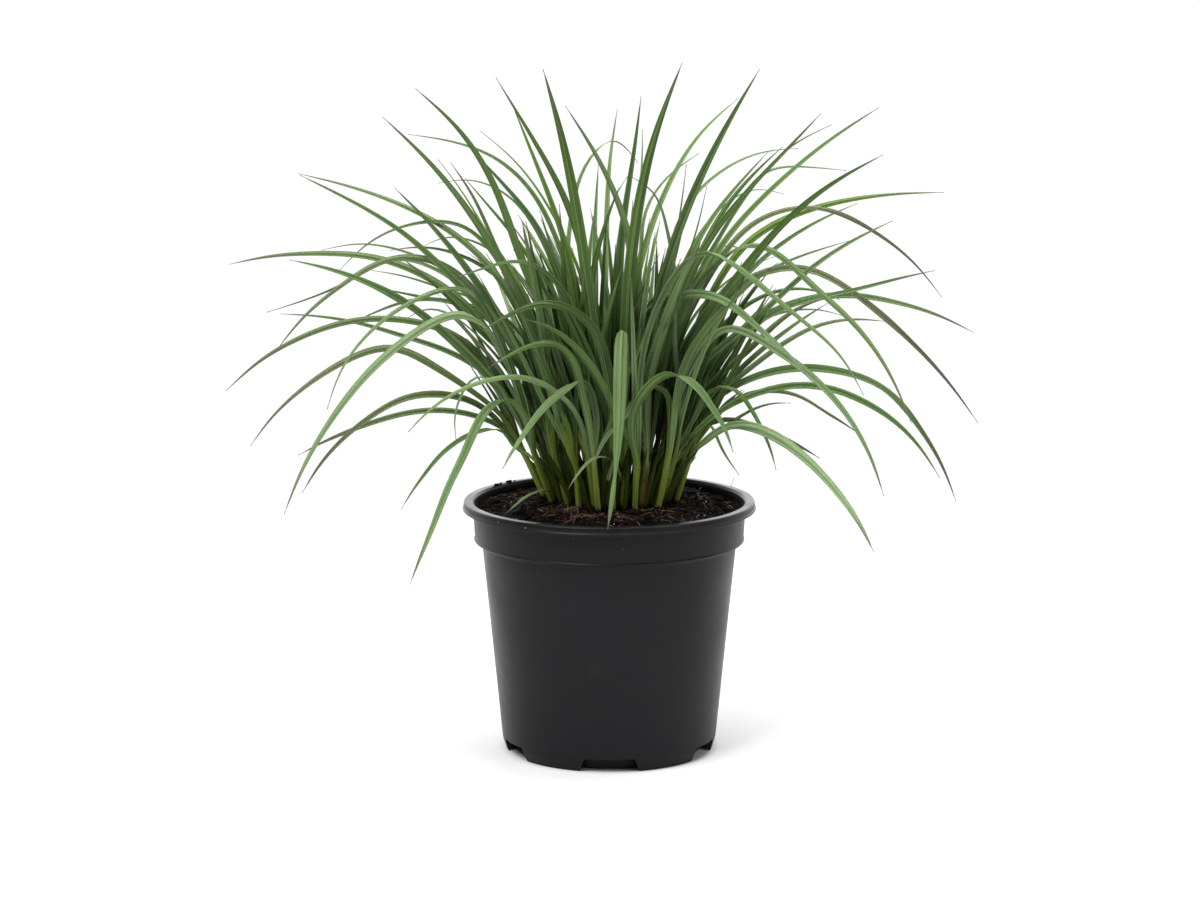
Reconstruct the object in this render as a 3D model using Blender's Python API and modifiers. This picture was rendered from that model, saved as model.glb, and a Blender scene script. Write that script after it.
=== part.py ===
"""A clump of ornamental sedge grass in a round black nursery pot, in metres with +Z up.

The origin is the middle of the pot's foot, on the surface that it stands on. The pot, the soil and each
shoot of the grass are separate objects. A shoot is one grown piece: a sheath that opens into its leaves.
"""

import itertools
import math
import random

import bmesh
import bpy
from mathutils import Vector, noise
from mathutils.bvhtree import BVHTree

MM = 0.001
GAP = 0.0004  # what neighbouring pieces keep between them

# Pot
POT_HEIGHT = 0.164
RIM_RADIUS = 0.095
RIM_WIDTH = 0.007
RIM_DEPTH = 0.0055
RIM_ROUND = 0.0014
RIM_UNDERCUT = 0.001
RIM_THROAT = 0.003  # inside, the wall reaches the rim's slope this far below its top
COLLAR_TOP_RADIUS = 0.0883
COLLAR_RADIUS = 0.0873
COLLAR_DEPTH = 0.026
BODY_TOP_RADIUS = 0.0818
BODY_TOP_DEPTH = 0.0275
BODY_FOOT_RADIUS = 0.0696
FOOT_RADIUS = 0.0675
FOOT_CHAMFER = 0.007
WALL = 0.0016
FLOOR_HEIGHT = 0.009
INNER_FOOT_RADIUS = 0.060
INNER_FOOT_LIFT = 0.0005
TURN_STEPS = 40
NOTCH_HEIGHT = 0.0087
NOTCH_REACH = 0.010
NOTCH_BELOW = 0.002  # how far a notch's cutter passes the ground
NOTCH_SPREAD = 1.2  # a notch is this much wider on the ground than at its top
NOTCHES = ((90, 28), (270, 28), (40, 22), (140, 22), (206, 22), (334, 22))  # middle and width in degrees
DRAIN_COUNT = 6
DRAIN_TURN = 0.37  # first hole's angle as a share of the angle between holes
DRAIN_SIDES = 10
DRAIN_RADIUS = 0.005
DRAIN_CIRCLE = 0.042

# Soil
SOIL_TOP = 0.163
SOIL_EDGE = 0.1575
SOIL_PLATEAU = 0.060
SOIL_SHOULDER = 0.0768
SOIL_SHOULDER_HEIGHT = 0.1600
SOIL_LUMP = 0.0008
SOIL_LUMP_SCALE = 60
SOIL_SEED = Vector((3.1, 7.4, 1.9))
SHARP_ANGLE = math.radians(35)

# Shoots
CROWN_CENTRE = Vector((0.002, 0.009, 0.0))
CROWN_RADIUS = 0.046
SHOOT_COUNT = 54
FIRST_ROOT = 0.6  # how far out the first root is, counted in roots
GOLDEN_ANGLE = math.pi * (3 - math.sqrt(5))
SHEATH_FOOT_RADIUS = 0.0029
SHEATH_TOP_RADIUS = 0.0026
SHEATH_HEIGHT = (0.022, 0.034)
FAT_BASE_SIZE = 1.15  # a leaf's base is taken as this much larger when it is kept clear of other shoots
PARTED_SIZE = 0.97  # and as this much smaller, and moved up by the next number, for its own shoot
PARTED_BY = 0.00003
MOST_LEAN = math.radians(27)
LEAN_UPRIGHT = 0.6  # weights of what a sheath leans towards: straight up,
LEAN_OUTWARD = 5.2  # away from the crown's middle, for each metre that the root is from it,
LEAN_TO_LEAF = 0.8  # and each of its leaves
OUTER_SLOTS = 3
LEAF_FOLD = 0.26  # depth of a leaf's fold as a share of its width
LEAF_NECK = 0.66  # width of a leaf at its sheath as a share of its widest
LEAF_SWELL = 0.3  # share of its length by which a leaf is at its widest
FEWEST_RINGS = 3
MOST_RINGS = 7
BEND_PER_RING = math.radians(21)
TIP_SPAN = 0.75  # last span of a leaf as a share of its others
FACING = 0.62  # how far a leaf read from the front turns its face there
EASED_SHARE = 0.5  # share of its length over which a read leaf gives way towards the shoot it grows from
EASED_BY = 0.75  # and how far it does at the soil, as a share of that shoot's distance from its own root
DEPTH_CURVE = 1.2  # a read leaf leaves its root's depth slower than it nears its tip's, by this power
BACK_WEIGHT = 0.5  # how much a root's place from front to back counts beside its place across
LOAD_WEIGHT = 12 * MM * MM  # what the square of a shoot's number of leaves counts for, in square metres
SIDE_WEIGHT = 0.5  # how much an outer slot's angle to a leaf counts beside the middle slot's
WIDTH_TRIES = (1.0, 0.85, 0.7)
SHIFT_TRIES = (0, -8, 8, -16, 16, -26, 26)  # of a read leaf's tip, back or forward, in millimetres
BULGE_TRIES = (0, -6, 6, -12, 12, -20, 20)  # of its middle
NEIGHBOURS_TRIED = 12
NEW_TRIES = 260
TRY_SHRINK = 0.0015  # share of its size that a leaf grown by rule loses at each new try
MIDDLE_LEAF = {"bend": (4, 40), "length": (0.120, 0.185)}  # degrees and metres
OUTER_LEAF = {"bend": (45, 120), "length": (0.170, 0.290)}
UPRIGHT_SHARE = 0.35  # of the leaves in outer slots
ARCH_STEPS = 16
ARCH_PLACES = 4
ARCH_CURVE = 1.5  # a leaf grown by rule bends more towards its tip, by this power
LEAN = math.radians(4)  # of such a leaf at the crown's middle,
LEAN_OUT = math.radians(20)  # what it gains towards the crown's edge,
LEAN_SPREAD = (math.radians(-4), math.radians(5))  # and how much it varies
TURN_SPREAD = (0.95, 0.35)  # of its direction, in radians, at the crown's middle and edge
LEAF_WIDTH = (4.2, 7.0)  # millimetres
SEED = 11
INNER_COLOUR = Vector((0.105, 0.205, 0.040))
OUTER_COLOUR = Vector((0.060, 0.125, 0.042))

# The viewpoint from which the leaves were read: in front of the pot and above it
EYE = Vector((-0.006, -2.0, 0.549))

# Leaves as they show from the front, in millimetres across from the pot's axis and up from the ground, in the
# upright plane through that axis. Each has its root (across, back), its width, how far back its tip
# lies (less than 0 is nearer the eye), and the places that it passes, with its tip last.
READ_LEAVES = (
    ((-40, -4), 3.8, -45, (-54, 190), (-72, 210), (-100, 201), (-120, 180), (-135, 157)),
    ((-36, -10), 6.0, -187, (-50, 208), (-68, 232), (-96, 190), (-113, 150), (-130, 107)),
    ((-38, 0), 2.6, -60, (-66, 230), (-82, 246), (-93, 236), (-99, 203)),
    ((-42, 12), 5.4, 10, (-60, 200), (-90, 229), (-125, 232), (-165, 210), (-199, 168)),
    ((-44, 22), 5.0, 45, (-58, 200), (-90, 220), (-120, 222), (-165, 210), (-201, 193)),
    ((-8, -30), 4.2, -110, (-22, 222), (-52, 243), (-85, 240), (-115, 223), (-130, 208)),
    ((-34, -6), 6.6, -75, (-60, 245), (-93, 284), (-130, 269), (-170, 229), (-211, 154)),
    ((-40, 18), 5.6, -15, (-60, 208), (-100, 243), (-142, 263), (-190, 242), (-232, 199)),
    ((-40, 30), 5.8, -10, (-62, 225), (-100, 271), (-150, 282), (-200, 269), (-247, 235)),
    ((-30, 34), 3.2, 80, (-60, 262), (-108, 312), (-137, 320), (-177, 301), (-220, 286)),
    ((-30, 10), 5.2, -30, (-66, 270), (-110, 318), (-137, 321), (-175, 301), (-215, 260)),
    ((-34, 26), 6.0, 35, (-62, 245), (-100, 298), (-145, 320), (-190, 324), (-243, 317)),
    ((-38, 8), 6.6, -40, (-62, 222), (-100, 267), (-140, 298), (-170, 311), (-205, 320)),
    ((-28, 38), 2.8, 70, (-58, 265), (-100, 310), (-137, 327), (-160, 330), (-184, 326)),
    ((-24, 24), 3.6, 20, (-56, 290), (-95, 342), (-125, 343), (-150, 333), (-173, 313)),
    ((-40, 36), 4.2, 70, (-60, 225), (-98, 258), (-130, 270), (-165, 280), (-211, 285)),
    ((-32, 2), 4.0, -60, (-60, 258), (-100, 302), (-130, 291), (-168, 256), (-182, 223)),
    ((-26, 28), 2.8, 60, (-55, 270), (-82, 293), (-108, 302), (-130, 309), (-152, 313)),
    ((-28, 20), 4.4, 30, (-60, 265), (-95, 291), (-125, 294), (-148, 287), (-166, 279)),
    ((-22, 36), 4.6, 80, (-50, 255), (-75, 286), (-100, 292), (-125, 297), (-150, 302)),
    ((-34, 14), 3.2, 20, (-62, 235), (-88, 270), (-110, 288), (-130, 282)),
    ((-26, 22), 5.2, 40, (-52, 270), (-80, 320), (-120, 349), (-160, 365), (-198, 375)),
    ((-30, 6), 5.8, -10, (-56, 255), (-90, 297), (-120, 328), (-155, 352), (-197, 374)),
    ((-24, 12), 6.2, 20, (-46, 235), (-80, 298), (-105, 332), (-137, 366)),
    ((-22, -6), 6.4, -40, (-42, 255), (-66, 312), (-100, 365), (-144, 411)),
    ((-16, -14), 6.6, -60, (-34, 262), (-58, 325), (-83, 386), (-123, 429)),
    ((-8, 14), 5.2, 30, (-28, 300), (-50, 347), (-70, 371), (-90, 393)),
    ((-4, 32), 4.0, 90, (-26, 310), (-44, 355), (-62, 378), (-90, 392), (-128, 400)),
    ((0, 26), 2.6, 60, (-22, 320), (-47, 366), (-67, 390), (-82, 402)),
    ((-14, 30), 2.6, 80, (-38, 320), (-60, 357), (-80, 369), (-109, 369)),
    ((-20, 6), 4.8, 10, (-42, 270), (-68, 318), (-85, 357), (-101, 382)),
    ((-12, 22), 4.2, 50, (-36, 290), (-60, 334), (-75, 352), (-92, 372)),
    ((-26, 34), 2.4, 90, (-50, 290), (-80, 340), (-99, 371), (-109, 384)),
    ((4, -24), 5.8, -60, (-10, 290), (-24, 348), (-48, 396), (-72, 436)),
    ((-8, 2), 5.4, 10, (-22, 300), (-37, 358), (-50, 390), (-62, 420)),
    ((-3, -30), 8.6, -90, (-10, 270), (-19, 340), (-28, 388), (-42, 441)),
    ((20, -16), 5.8, -40, (20, 290), (12, 338), (-5, 380), (-28, 418)),
    ((-4, 44), 4.8, 150, (-3, 300), (-1, 360), (1, 390), (5, 416)),
    ((-10, 46), 4.6, 140, (-10, 290), (-9, 345), (-8, 365), (-7, 381)),
    ((-16, 48), 3.8, 187, (-28, 310), (-20, 366), (-3, 397), (18, 382)),
    ((6, 4), 5.8, 20, (6, 290), (9, 345), (15, 385), (20, 424)),
    ((2, 38), 3.2, 110, (10, 300), (18, 360), (22, 390), (21, 403)),
    ((8, -28), 8.4, -80, (10, 270), (17, 345), (27, 392), (46, 445)),
    ((38, -10), 3.4, -50, (42, 270), (38, 335), (25, 366), (12, 374)),
    ((-2, 10), 3.2, 40, (-4, 300), (-1, 345), (4, 363), (12, 374)),
    ((-16, -20), 5.6, -50, (-14, 290), (-8, 325), (0, 350), (6, 366)),
    ((10, 40), 4.8, 150, (18, 310), (34, 360), (52, 393), (82, 423)),
    ((14, 34), 3.4, 110, (20, 320), (28, 363), (43, 378), (57, 388)),
    ((18, -18), 7.0, -70, (26, 270), (44, 338), (65, 387), (95, 441)),
    ((22, 30), 3.4, 80, (34, 310), (52, 358), (80, 382), (120, 391)),
    ((24, 44), 2.2, 120, (38, 310), (46, 355), (48, 370), (49, 381)),
    ((26, 12), 2.2, 0, (44, 300), (58, 347), (61, 358), (62, 367)),
    ((26, -6), 5.8, -30, (42, 280), (68, 340), (95, 371), (134, 413)),
    ((30, 20), 3.2, 50, (48, 290), (80, 350), (110, 388), (141, 406)),
    ((22, 6), 5.0, 20, (40, 290), (60, 338), (82, 368), (101, 389)),
    ((28, 26), 5.2, 70, (44, 280), (72, 350), (92, 375), (110, 392)),
    ((32, 34), 3.6, 90, (52, 290), (78, 348), (100, 376), (125, 379), (151, 377)),
    ((34, 4), 5.4, 0, (50, 280), (75, 334), (115, 376), (171, 417)),
    ((20, 46), 2.2, 130, (44, 310), (70, 352), (95, 365), (111, 362)),
    ((36, -8), 6.8, -40, (52, 260), (85, 313), (125, 356), (174, 387)),
    ((34, 12), 5.8, 20, (56, 275), (85, 311), (105, 335), (124, 354)),
    ((30, 28), 4.4, 70, (56, 290), (90, 342), (135, 353), (175, 334), (213, 296)),
    ((36, 20), 5.6, 40, (58, 280), (92, 334), (130, 353), (165, 360), (213, 363)),
    ((38, 32), 4.6, 80, (62, 270), (95, 318), (125, 340), (158, 356)),
    ((38, 0), 5.4, -10, (56, 245), (95, 283), (135, 319), (181, 345)),
    ((34, 38), 3.4, 100, (60, 270), (90, 306), (125, 323), (153, 332)),
    ((26, 40), 2.4, 110, (52, 280), (78, 308), (106, 322)),
    ((28, -12), 5.4, -60, (50, 290), (85, 330), (130, 304), (175, 255), (195, 214)),
    ((40, 8), 6.0, 30, (62, 262), (105, 317), (145, 305), (195, 266), (238, 214)),
    ((42, 16), 4.8, 30, (64, 245), (105, 286), (150, 299), (208, 313)),
    ((34, 40), 4.2, 80, (60, 260), (90, 292), (115, 301), (148, 294)),
    ((42, 24), 6.0, 50, (64, 240), (100, 284), (145, 297), (190, 291), (234, 273)),
    ((44, 8), 4.2, 20, (64, 222), (100, 257), (130, 276), (178, 280)),
    ((36, 32), 2.4, 80, (64, 255), (95, 280), (125, 288), (152, 283)),
    ((10, -32), 7.0, -110, (12, 262), (30, 289), (58, 299), (92, 279), (131, 240)),
    ((22, -26), 5.0, -80, (30, 285), (48, 316), (68, 327), (100, 298), (140, 268), (164, 232)),
    ((34, -20), 6.2, -70, (50, 245), (78, 276), (110, 260), (145, 230), (178, 166)),
    ((16, -34), 6.8, -120, (14, 215), (26, 238), (43, 247), (63, 229), (80, 195)),
    ((28, -16), 5.2, -90, (38, 214), (37, 233), (28, 240), (14, 224), (-4, 201), (-11, 184)),
    ((6, -36), 10.0, -100, (9, 230), (8, 277), (7, 245), (5, 195), (-1, 144)),
    ((2, -35), 7.4, -90, (0, 243), (-15, 281), (-37, 292), (-62, 285), (-82, 274)),
    ((-6, -30), 4.8, -70, (-18, 268), (-30, 301), (-58, 319), (-82, 314), (-100, 308)),
    ((-8, -32), 6.2, -85, (-17, 232), (-27, 260), (-38, 267), (-58, 261), (-78, 250)),
    ((-3, -36), 5.8, -110, (-7, 215), (-18, 241), (-35, 231), (-55, 207), (-69, 184)),
    ((44, 4), 5.8, 0, (60, 218), (90, 243), (130, 250), (175, 238), (205, 204), (225, 162)),
    ((42, -6), 5.6, -40, (58, 207), (90, 231), (125, 239), (170, 225), (214, 178)),
    ((40, 18), 3.6, 40, (62, 212), (90, 233), (115, 234), (140, 221), (164, 205)),
    ((46, 2), 7.2, -150, (52, 186), (63, 204), (84, 213), (112, 202), (145, 172), (172, 129)),
    ((43, 14), 4.8, 30, (54, 205), (72, 216), (95, 212), (115, 203), (136, 191)),
    ((36, -16), 4.0, -60, (58, 222), (72, 240), (86, 230), (100, 207), (108, 183)),
    ((40, 26), 2.6, 70, (58, 200), (78, 214), (95, 224), (117, 227)),
    ((38, -2), 2.6, -40, (50, 195), (64, 213), (74, 195), (84, 180)),
    ((-26, 0), 6.8, -20, (-48, 240), (-80, 272), (-108, 301), (-133, 321)),
    ((-18, 16), 4.2, 40, (-45, 280), (-80, 315), (-105, 326), (-140, 326)),
    ((-20, 40), 2.8, 110, (-50, 300), (-85, 331), (-105, 334), (-120, 328)),
    ((32, -18), 6.8, -50, (50, 255), (75, 290), (92, 306), (108, 318)),
    ((40, 2), 5.8, 10, (62, 235), (90, 262), (120, 288), (142, 296)),
    ((42, -4), 4.4, -20, (60, 222), (85, 250), (112, 273), (140, 292)),
    ((38, 22), 4.8, 60, (60, 240), (88, 272), (115, 291), (138, 297)),
    ((26, -22), 8.0, -70, (24, 235), (33, 272), (43, 300), (58, 330)),
)

# Half the breadth of the dense middle of the clump as it shows from the front, by height
DENSE_EDGE = (
    (0.000, 0.078),
    (0.160, 0.078),
    (0.170, 0.046),
    (0.200, 0.060),
    (0.240, 0.092),
    (0.290, 0.122),
    (0.320, 0.102),
    (0.345, 0.070),
    (0.356, 0.040),
)
DENSE_TOP = 0.356
CROWN_TOP = 0.170  # below this a leaf grown by rule stays behind the pot's axis
FRONT_PART = 0.06  # further forward than this it stays above LOWEST_IN_FRONT
REACH_BACK = 0.183
REACH_FORWARD = 0.150
LOWEST_IN_FRONT = 0.222


def clear_scene():
    for obj in list(bpy.data.objects):
        bpy.data.objects.remove(obj, do_unlink=True)


def make_collection(name):
    collection = bpy.data.collections.new(name)
    bpy.context.scene.collection.children.link(collection)
    return collection


def make_material(name, colour, roughness, metallic=0.0):
    material = bpy.data.materials.new(name)
    material.use_nodes = True
    shader = material.node_tree.nodes["Principled BSDF"]
    shader.inputs["Base Color"].default_value = (*colour, 1.0)
    shader.inputs["Roughness"].default_value = roughness
    shader.inputs["Metallic"].default_value = metallic
    material.diffuse_color = (*colour, 1.0)
    return material


def add_object(name, mesh, collection):
    obj = bpy.data.objects.new(name, mesh)
    collection.objects.link(obj)
    return obj


def finish(mesh, material):
    """Shades a mesh smooth up to its sharp edges and gives it its material."""
    mesh.shade_smooth()
    mesh.set_sharp_from_angle(angle=SHARP_ANGLE)
    mesh.materials.append(material)


def turned(name, profile, collection, material):
    """A turned shape from (radius, height) points that run up its inside and down its outside."""
    outline = bpy.data.meshes.new(f"{name}_profile")
    edges = [(i, i + 1) for i in range(len(profile) - 1)]
    outline.from_pydata([(radius, 0.0, height) for radius, height in profile], edges, [])
    obj = add_object(name, outline, collection)
    screw = obj.modifiers.new("Turn", "SCREW")
    screw.steps = TURN_STEPS
    screw.render_steps = TURN_STEPS
    screw.use_merge_vertices = True
    screw.merge_threshold = 0.00005
    graph = bpy.context.evaluated_depsgraph_get()
    mesh = bpy.data.meshes.new_from_object(obj.evaluated_get(graph))
    mesh.name = name
    obj.modifiers.clear()
    obj.data = mesh
    finish(mesh, material)
    return obj


def cut(obj, cutter):
    cutter.hide_render = True
    cutter.display_type = "WIRE"
    boolean = obj.modifiers.new(f"Cut {cutter.name}", "BOOLEAN")
    boolean.operation = "DIFFERENCE"
    boolean.object = cutter


def inner_wall(depth):
    """Inner radius of the pot's body where it narrows, this far below the rim."""
    share = (depth - BODY_TOP_DEPTH) / (POT_HEIGHT - FOOT_CHAMFER - BODY_TOP_DEPTH)
    return BODY_TOP_RADIUS + (BODY_FOOT_RADIUS - BODY_TOP_RADIUS) * share - WALL


def make_pot(parts, cutters, material):
    top = POT_HEIGHT
    floor_radius = inner_wall(top - FLOOR_HEIGHT - WALL)
    outside = [
        (RIM_RADIUS - RIM_WIDTH, top),
        (RIM_RADIUS - RIM_ROUND, top),
        (RIM_RADIUS, top - RIM_ROUND),
        (RIM_RADIUS, top - RIM_DEPTH + RIM_UNDERCUT),
        (RIM_RADIUS - RIM_UNDERCUT, top - RIM_DEPTH),
        (COLLAR_TOP_RADIUS, top - RIM_DEPTH),
        (COLLAR_RADIUS, top - COLLAR_DEPTH),
        (BODY_TOP_RADIUS, top - BODY_TOP_DEPTH),
        (BODY_FOOT_RADIUS, FOOT_CHAMFER),
        (FOOT_RADIUS, 0.0),
    ]
    underside = [
        (FOOT_RADIUS - WALL, 0.0),
        (BODY_FOOT_RADIUS - WALL, FLOOR_HEIGHT),
        (INNER_FOOT_RADIUS, FLOOR_HEIGHT),
        (INNER_FOOT_RADIUS, INNER_FOOT_LIFT),
        (INNER_FOOT_RADIUS - WALL, INNER_FOOT_LIFT),
        (INNER_FOOT_RADIUS - WALL, FLOOR_HEIGHT),
        (0.0, FLOOR_HEIGHT),
    ]
    inside = [
        (0.0, FLOOR_HEIGHT + WALL),
        (floor_radius, FLOOR_HEIGHT + WALL),
        (BODY_TOP_RADIUS - WALL, top - BODY_TOP_DEPTH + WALL),
        (COLLAR_RADIUS - WALL, top - COLLAR_DEPTH + WALL),
        (COLLAR_TOP_RADIUS - WALL, top - RIM_THROAT),
    ]
    pot = turned("pot", inside + outside + underside, parts, material)

    for number, (middle, width) in enumerate(NOTCHES):
        mesh = bpy.data.meshes.new(f"notch_{number}")
        shape = bmesh.new()
        bmesh.ops.create_cube(shape, size=1.0)
        half = FOOT_RADIUS * math.sin(math.radians(width / 2))
        for vert in shape.verts:
            spread = 1.0 if vert.co.z > 0 else NOTCH_SPREAD
            vert.co.x = FOOT_RADIUS + vert.co.x * NOTCH_REACH
            vert.co.y = math.copysign(half * spread, vert.co.y)
            vert.co.z = NOTCH_HEIGHT if vert.co.z > 0 else -NOTCH_BELOW
        shape.to_mesh(mesh)
        shape.free()
        cutter = add_object(f"notch_{number}", mesh, cutters)
        cutter.rotation_euler.z = math.radians(middle)
        cut(pot, cutter)

    for number in range(DRAIN_COUNT):
        mesh = bpy.data.meshes.new(f"drain_{number}")
        shape = bmesh.new()
        bmesh.ops.create_cone(
            shape,
            cap_ends=True,
            segments=DRAIN_SIDES,
            radius1=DRAIN_RADIUS,
            radius2=DRAIN_RADIUS,
            depth=WALL * 4,
        )
        shape.to_mesh(mesh)
        shape.free()
        cutter = add_object(f"drain_{number}", mesh, cutters)
        angle = math.tau * (number + DRAIN_TURN) / DRAIN_COUNT
        cutter.location = (
            DRAIN_CIRCLE * math.cos(angle),
            DRAIN_CIRCLE * math.sin(angle),
            FLOOR_HEIGHT + WALL / 2,
        )
        cut(pot, cutter)


def make_soil(parts, material):
    gap = GAP
    floor = FLOOR_HEIGHT + WALL + gap
    profile = [
        (0.0, floor),
        (inner_wall(POT_HEIGHT - floor) - gap, floor),
        (BODY_TOP_RADIUS - WALL - gap, POT_HEIGHT - BODY_TOP_DEPTH + WALL + gap),
        (COLLAR_RADIUS - WALL - gap, POT_HEIGHT - COLLAR_DEPTH + WALL + gap),
        (COLLAR_RADIUS - WALL - gap, SOIL_EDGE),
        (SOIL_SHOULDER, SOIL_SHOULDER_HEIGHT),
        (SOIL_PLATEAU, SOIL_TOP),
        (0.0, SOIL_TOP),
    ]
    soil = turned("soil", profile[::-1], parts, material)
    for vert in soil.data.vertices:
        radius = math.hypot(vert.co.x, vert.co.y)
        if abs(radius - SOIL_SHOULDER) < gap:
            vert.co.z += SOIL_LUMP * noise.noise(vert.co * SOIL_LUMP_SCALE + SOIL_SEED)


def seen_from_front(across, up, depth):
    """The place this far back that shows at (across, up) in the upright plane through the pot's axis."""
    share = (depth - EYE.y) / -EYE.y
    x = EYE.x + (across - EYE.x) * share
    return Vector((x, depth, EYE.z + (up - EYE.z) * share))


def shown(place):
    """Where a place shows in that plane: (across, up)."""
    share = -EYE.y / (place.y - EYE.y)
    return EYE.x + (place.x - EYE.x) * share, EYE.z + (place.z - EYE.z) * share


def smooth_line(points, start_direction, per_span=8):
    """Points along a smooth curve through these points, leaving the first one in the given direction."""
    spans = [(b - a).length for a, b in zip(points, points[1:])]
    last = len(points) - 1
    tangents = [start_direction.normalized()]
    for i in range(1, last):
        before = (points[i] - points[i - 1]) / spans[i - 1]
        after = (points[i + 1] - points[i]) / spans[i]
        share = spans[i - 1] / (spans[i - 1] + spans[i])
        tangents.append(before.lerp(after, share))
    tangents.append(2 * (points[last] - points[last - 1]) / spans[-1] - tangents[-1])
    line = []
    for i, span in enumerate(spans):
        for step in range(per_span):
            t = step / per_span
            line.append(
                points[i] * (2 * t**3 - 3 * t**2 + 1)
                + tangents[i] * (span * (t**3 - 2 * t**2 + t))
                + points[i + 1] * (3 * t**2 - 2 * t**3)
                + tangents[i + 1] * (span * (t**3 - t**2))
            )
    line.append(points[last])
    return line


def spaced(line, shares):
    """Places and directions along a line at these shares of its length."""
    lengths = [0.0]
    for a, b in zip(line, line[1:]):
        lengths.append(lengths[-1] + (b - a).length)
    found = []
    i = 0
    for share in shares:
        goal = share * lengths[-1]
        while i < len(line) - 2 and lengths[i + 1] < goal:
            i += 1
        part = (goal - lengths[i]) / (lengths[i + 1] - lengths[i])
        found.append((line[i].lerp(line[i + 1], part), (line[i + 1] - line[i]).normalized()))
    return found


def leaf_width(share):
    """Width of a leaf at this share of its length, as a share of its widest."""
    swell = LEAF_NECK + (1 - LEAF_NECK) * min(1.0, share / LEAF_SWELL)
    return swell * (1 - share**3) ** 0.8


def turning(line):
    """The angle that a line turns through in all."""
    steps = [(b - a).normalized() for a, b in zip(line[::4], line[4::4])]
    return sum(a.angle(b) for a, b in zip(steps, steps[1:]))


def leaf_rings(base, line, width, facing):
    """Three-cornered sections of a leaf from its sheath to near its tip: one edge, the keel, other edge."""
    count = min(MOST_RINGS, round(turning(line) / BEND_PER_RING) + FEWEST_RINGS)
    shares = [(k + 1) / (count + TIP_SPAN) for k in range(count)]
    outward = Vector((line[-1].x - line[0].x, line[-1].y - line[0].y, 0.0)).normalized()
    side = (base[0] - base[2]).normalized()
    rings = []
    for share, (place, along) in zip(shares, spaced(line, shares)):
        upper = Vector((0, 0, 1)) * along.dot(outward) - outward * along.z
        natural = along.cross(upper).normalized()
        faced = along.cross(place - EYE).normalized()
        if faced.dot(natural) < 0:
            faced.negate()
        wanted = natural.lerp(faced, facing)
        if wanted.dot(side) < 0:
            wanted.negate()
        side = (wanted - along * wanted.dot(along)).normalized()
        below = -side.cross(along)
        wide = width * leaf_width(share)
        rings.append(
            (
                place + side * (wide / 2),
                place + below * (wide * LEAF_FOLD),
                place - side * (wide / 2),
            )
        )
    return rings


def loft(rings, tip):
    """Vertices and triangles of a leaf from its base ring to its tip, without a base face.

    Where a side twists, it is split along the diagonal that stands out, so that opposite sides stay apart.
    """
    verts = [corner for ring in rings for corner in ring] + [tip]
    faces = []
    for start in range(0, 3 * (len(rings) - 1), 3):
        for i in range(3):
            a, b = start + i, start + (i + 1) % 3
            near, far = verts[b] - verts[a], verts[b + 3] - verts[a]
            if near.cross(far).dot(verts[a + 3] - verts[a]) < 0:
                faces.append((a, b, b + 3))
                faces.append((a, b + 3, a + 3))
            else:
                faces.append((a, b, a + 3))
                faces.append((b, b + 3, a + 3))
    start = 3 * (len(rings) - 1)
    for i in range(3):
        faces.append((start + i, start + (i + 1) % 3, len(verts) - 1))
    return verts, faces


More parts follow.
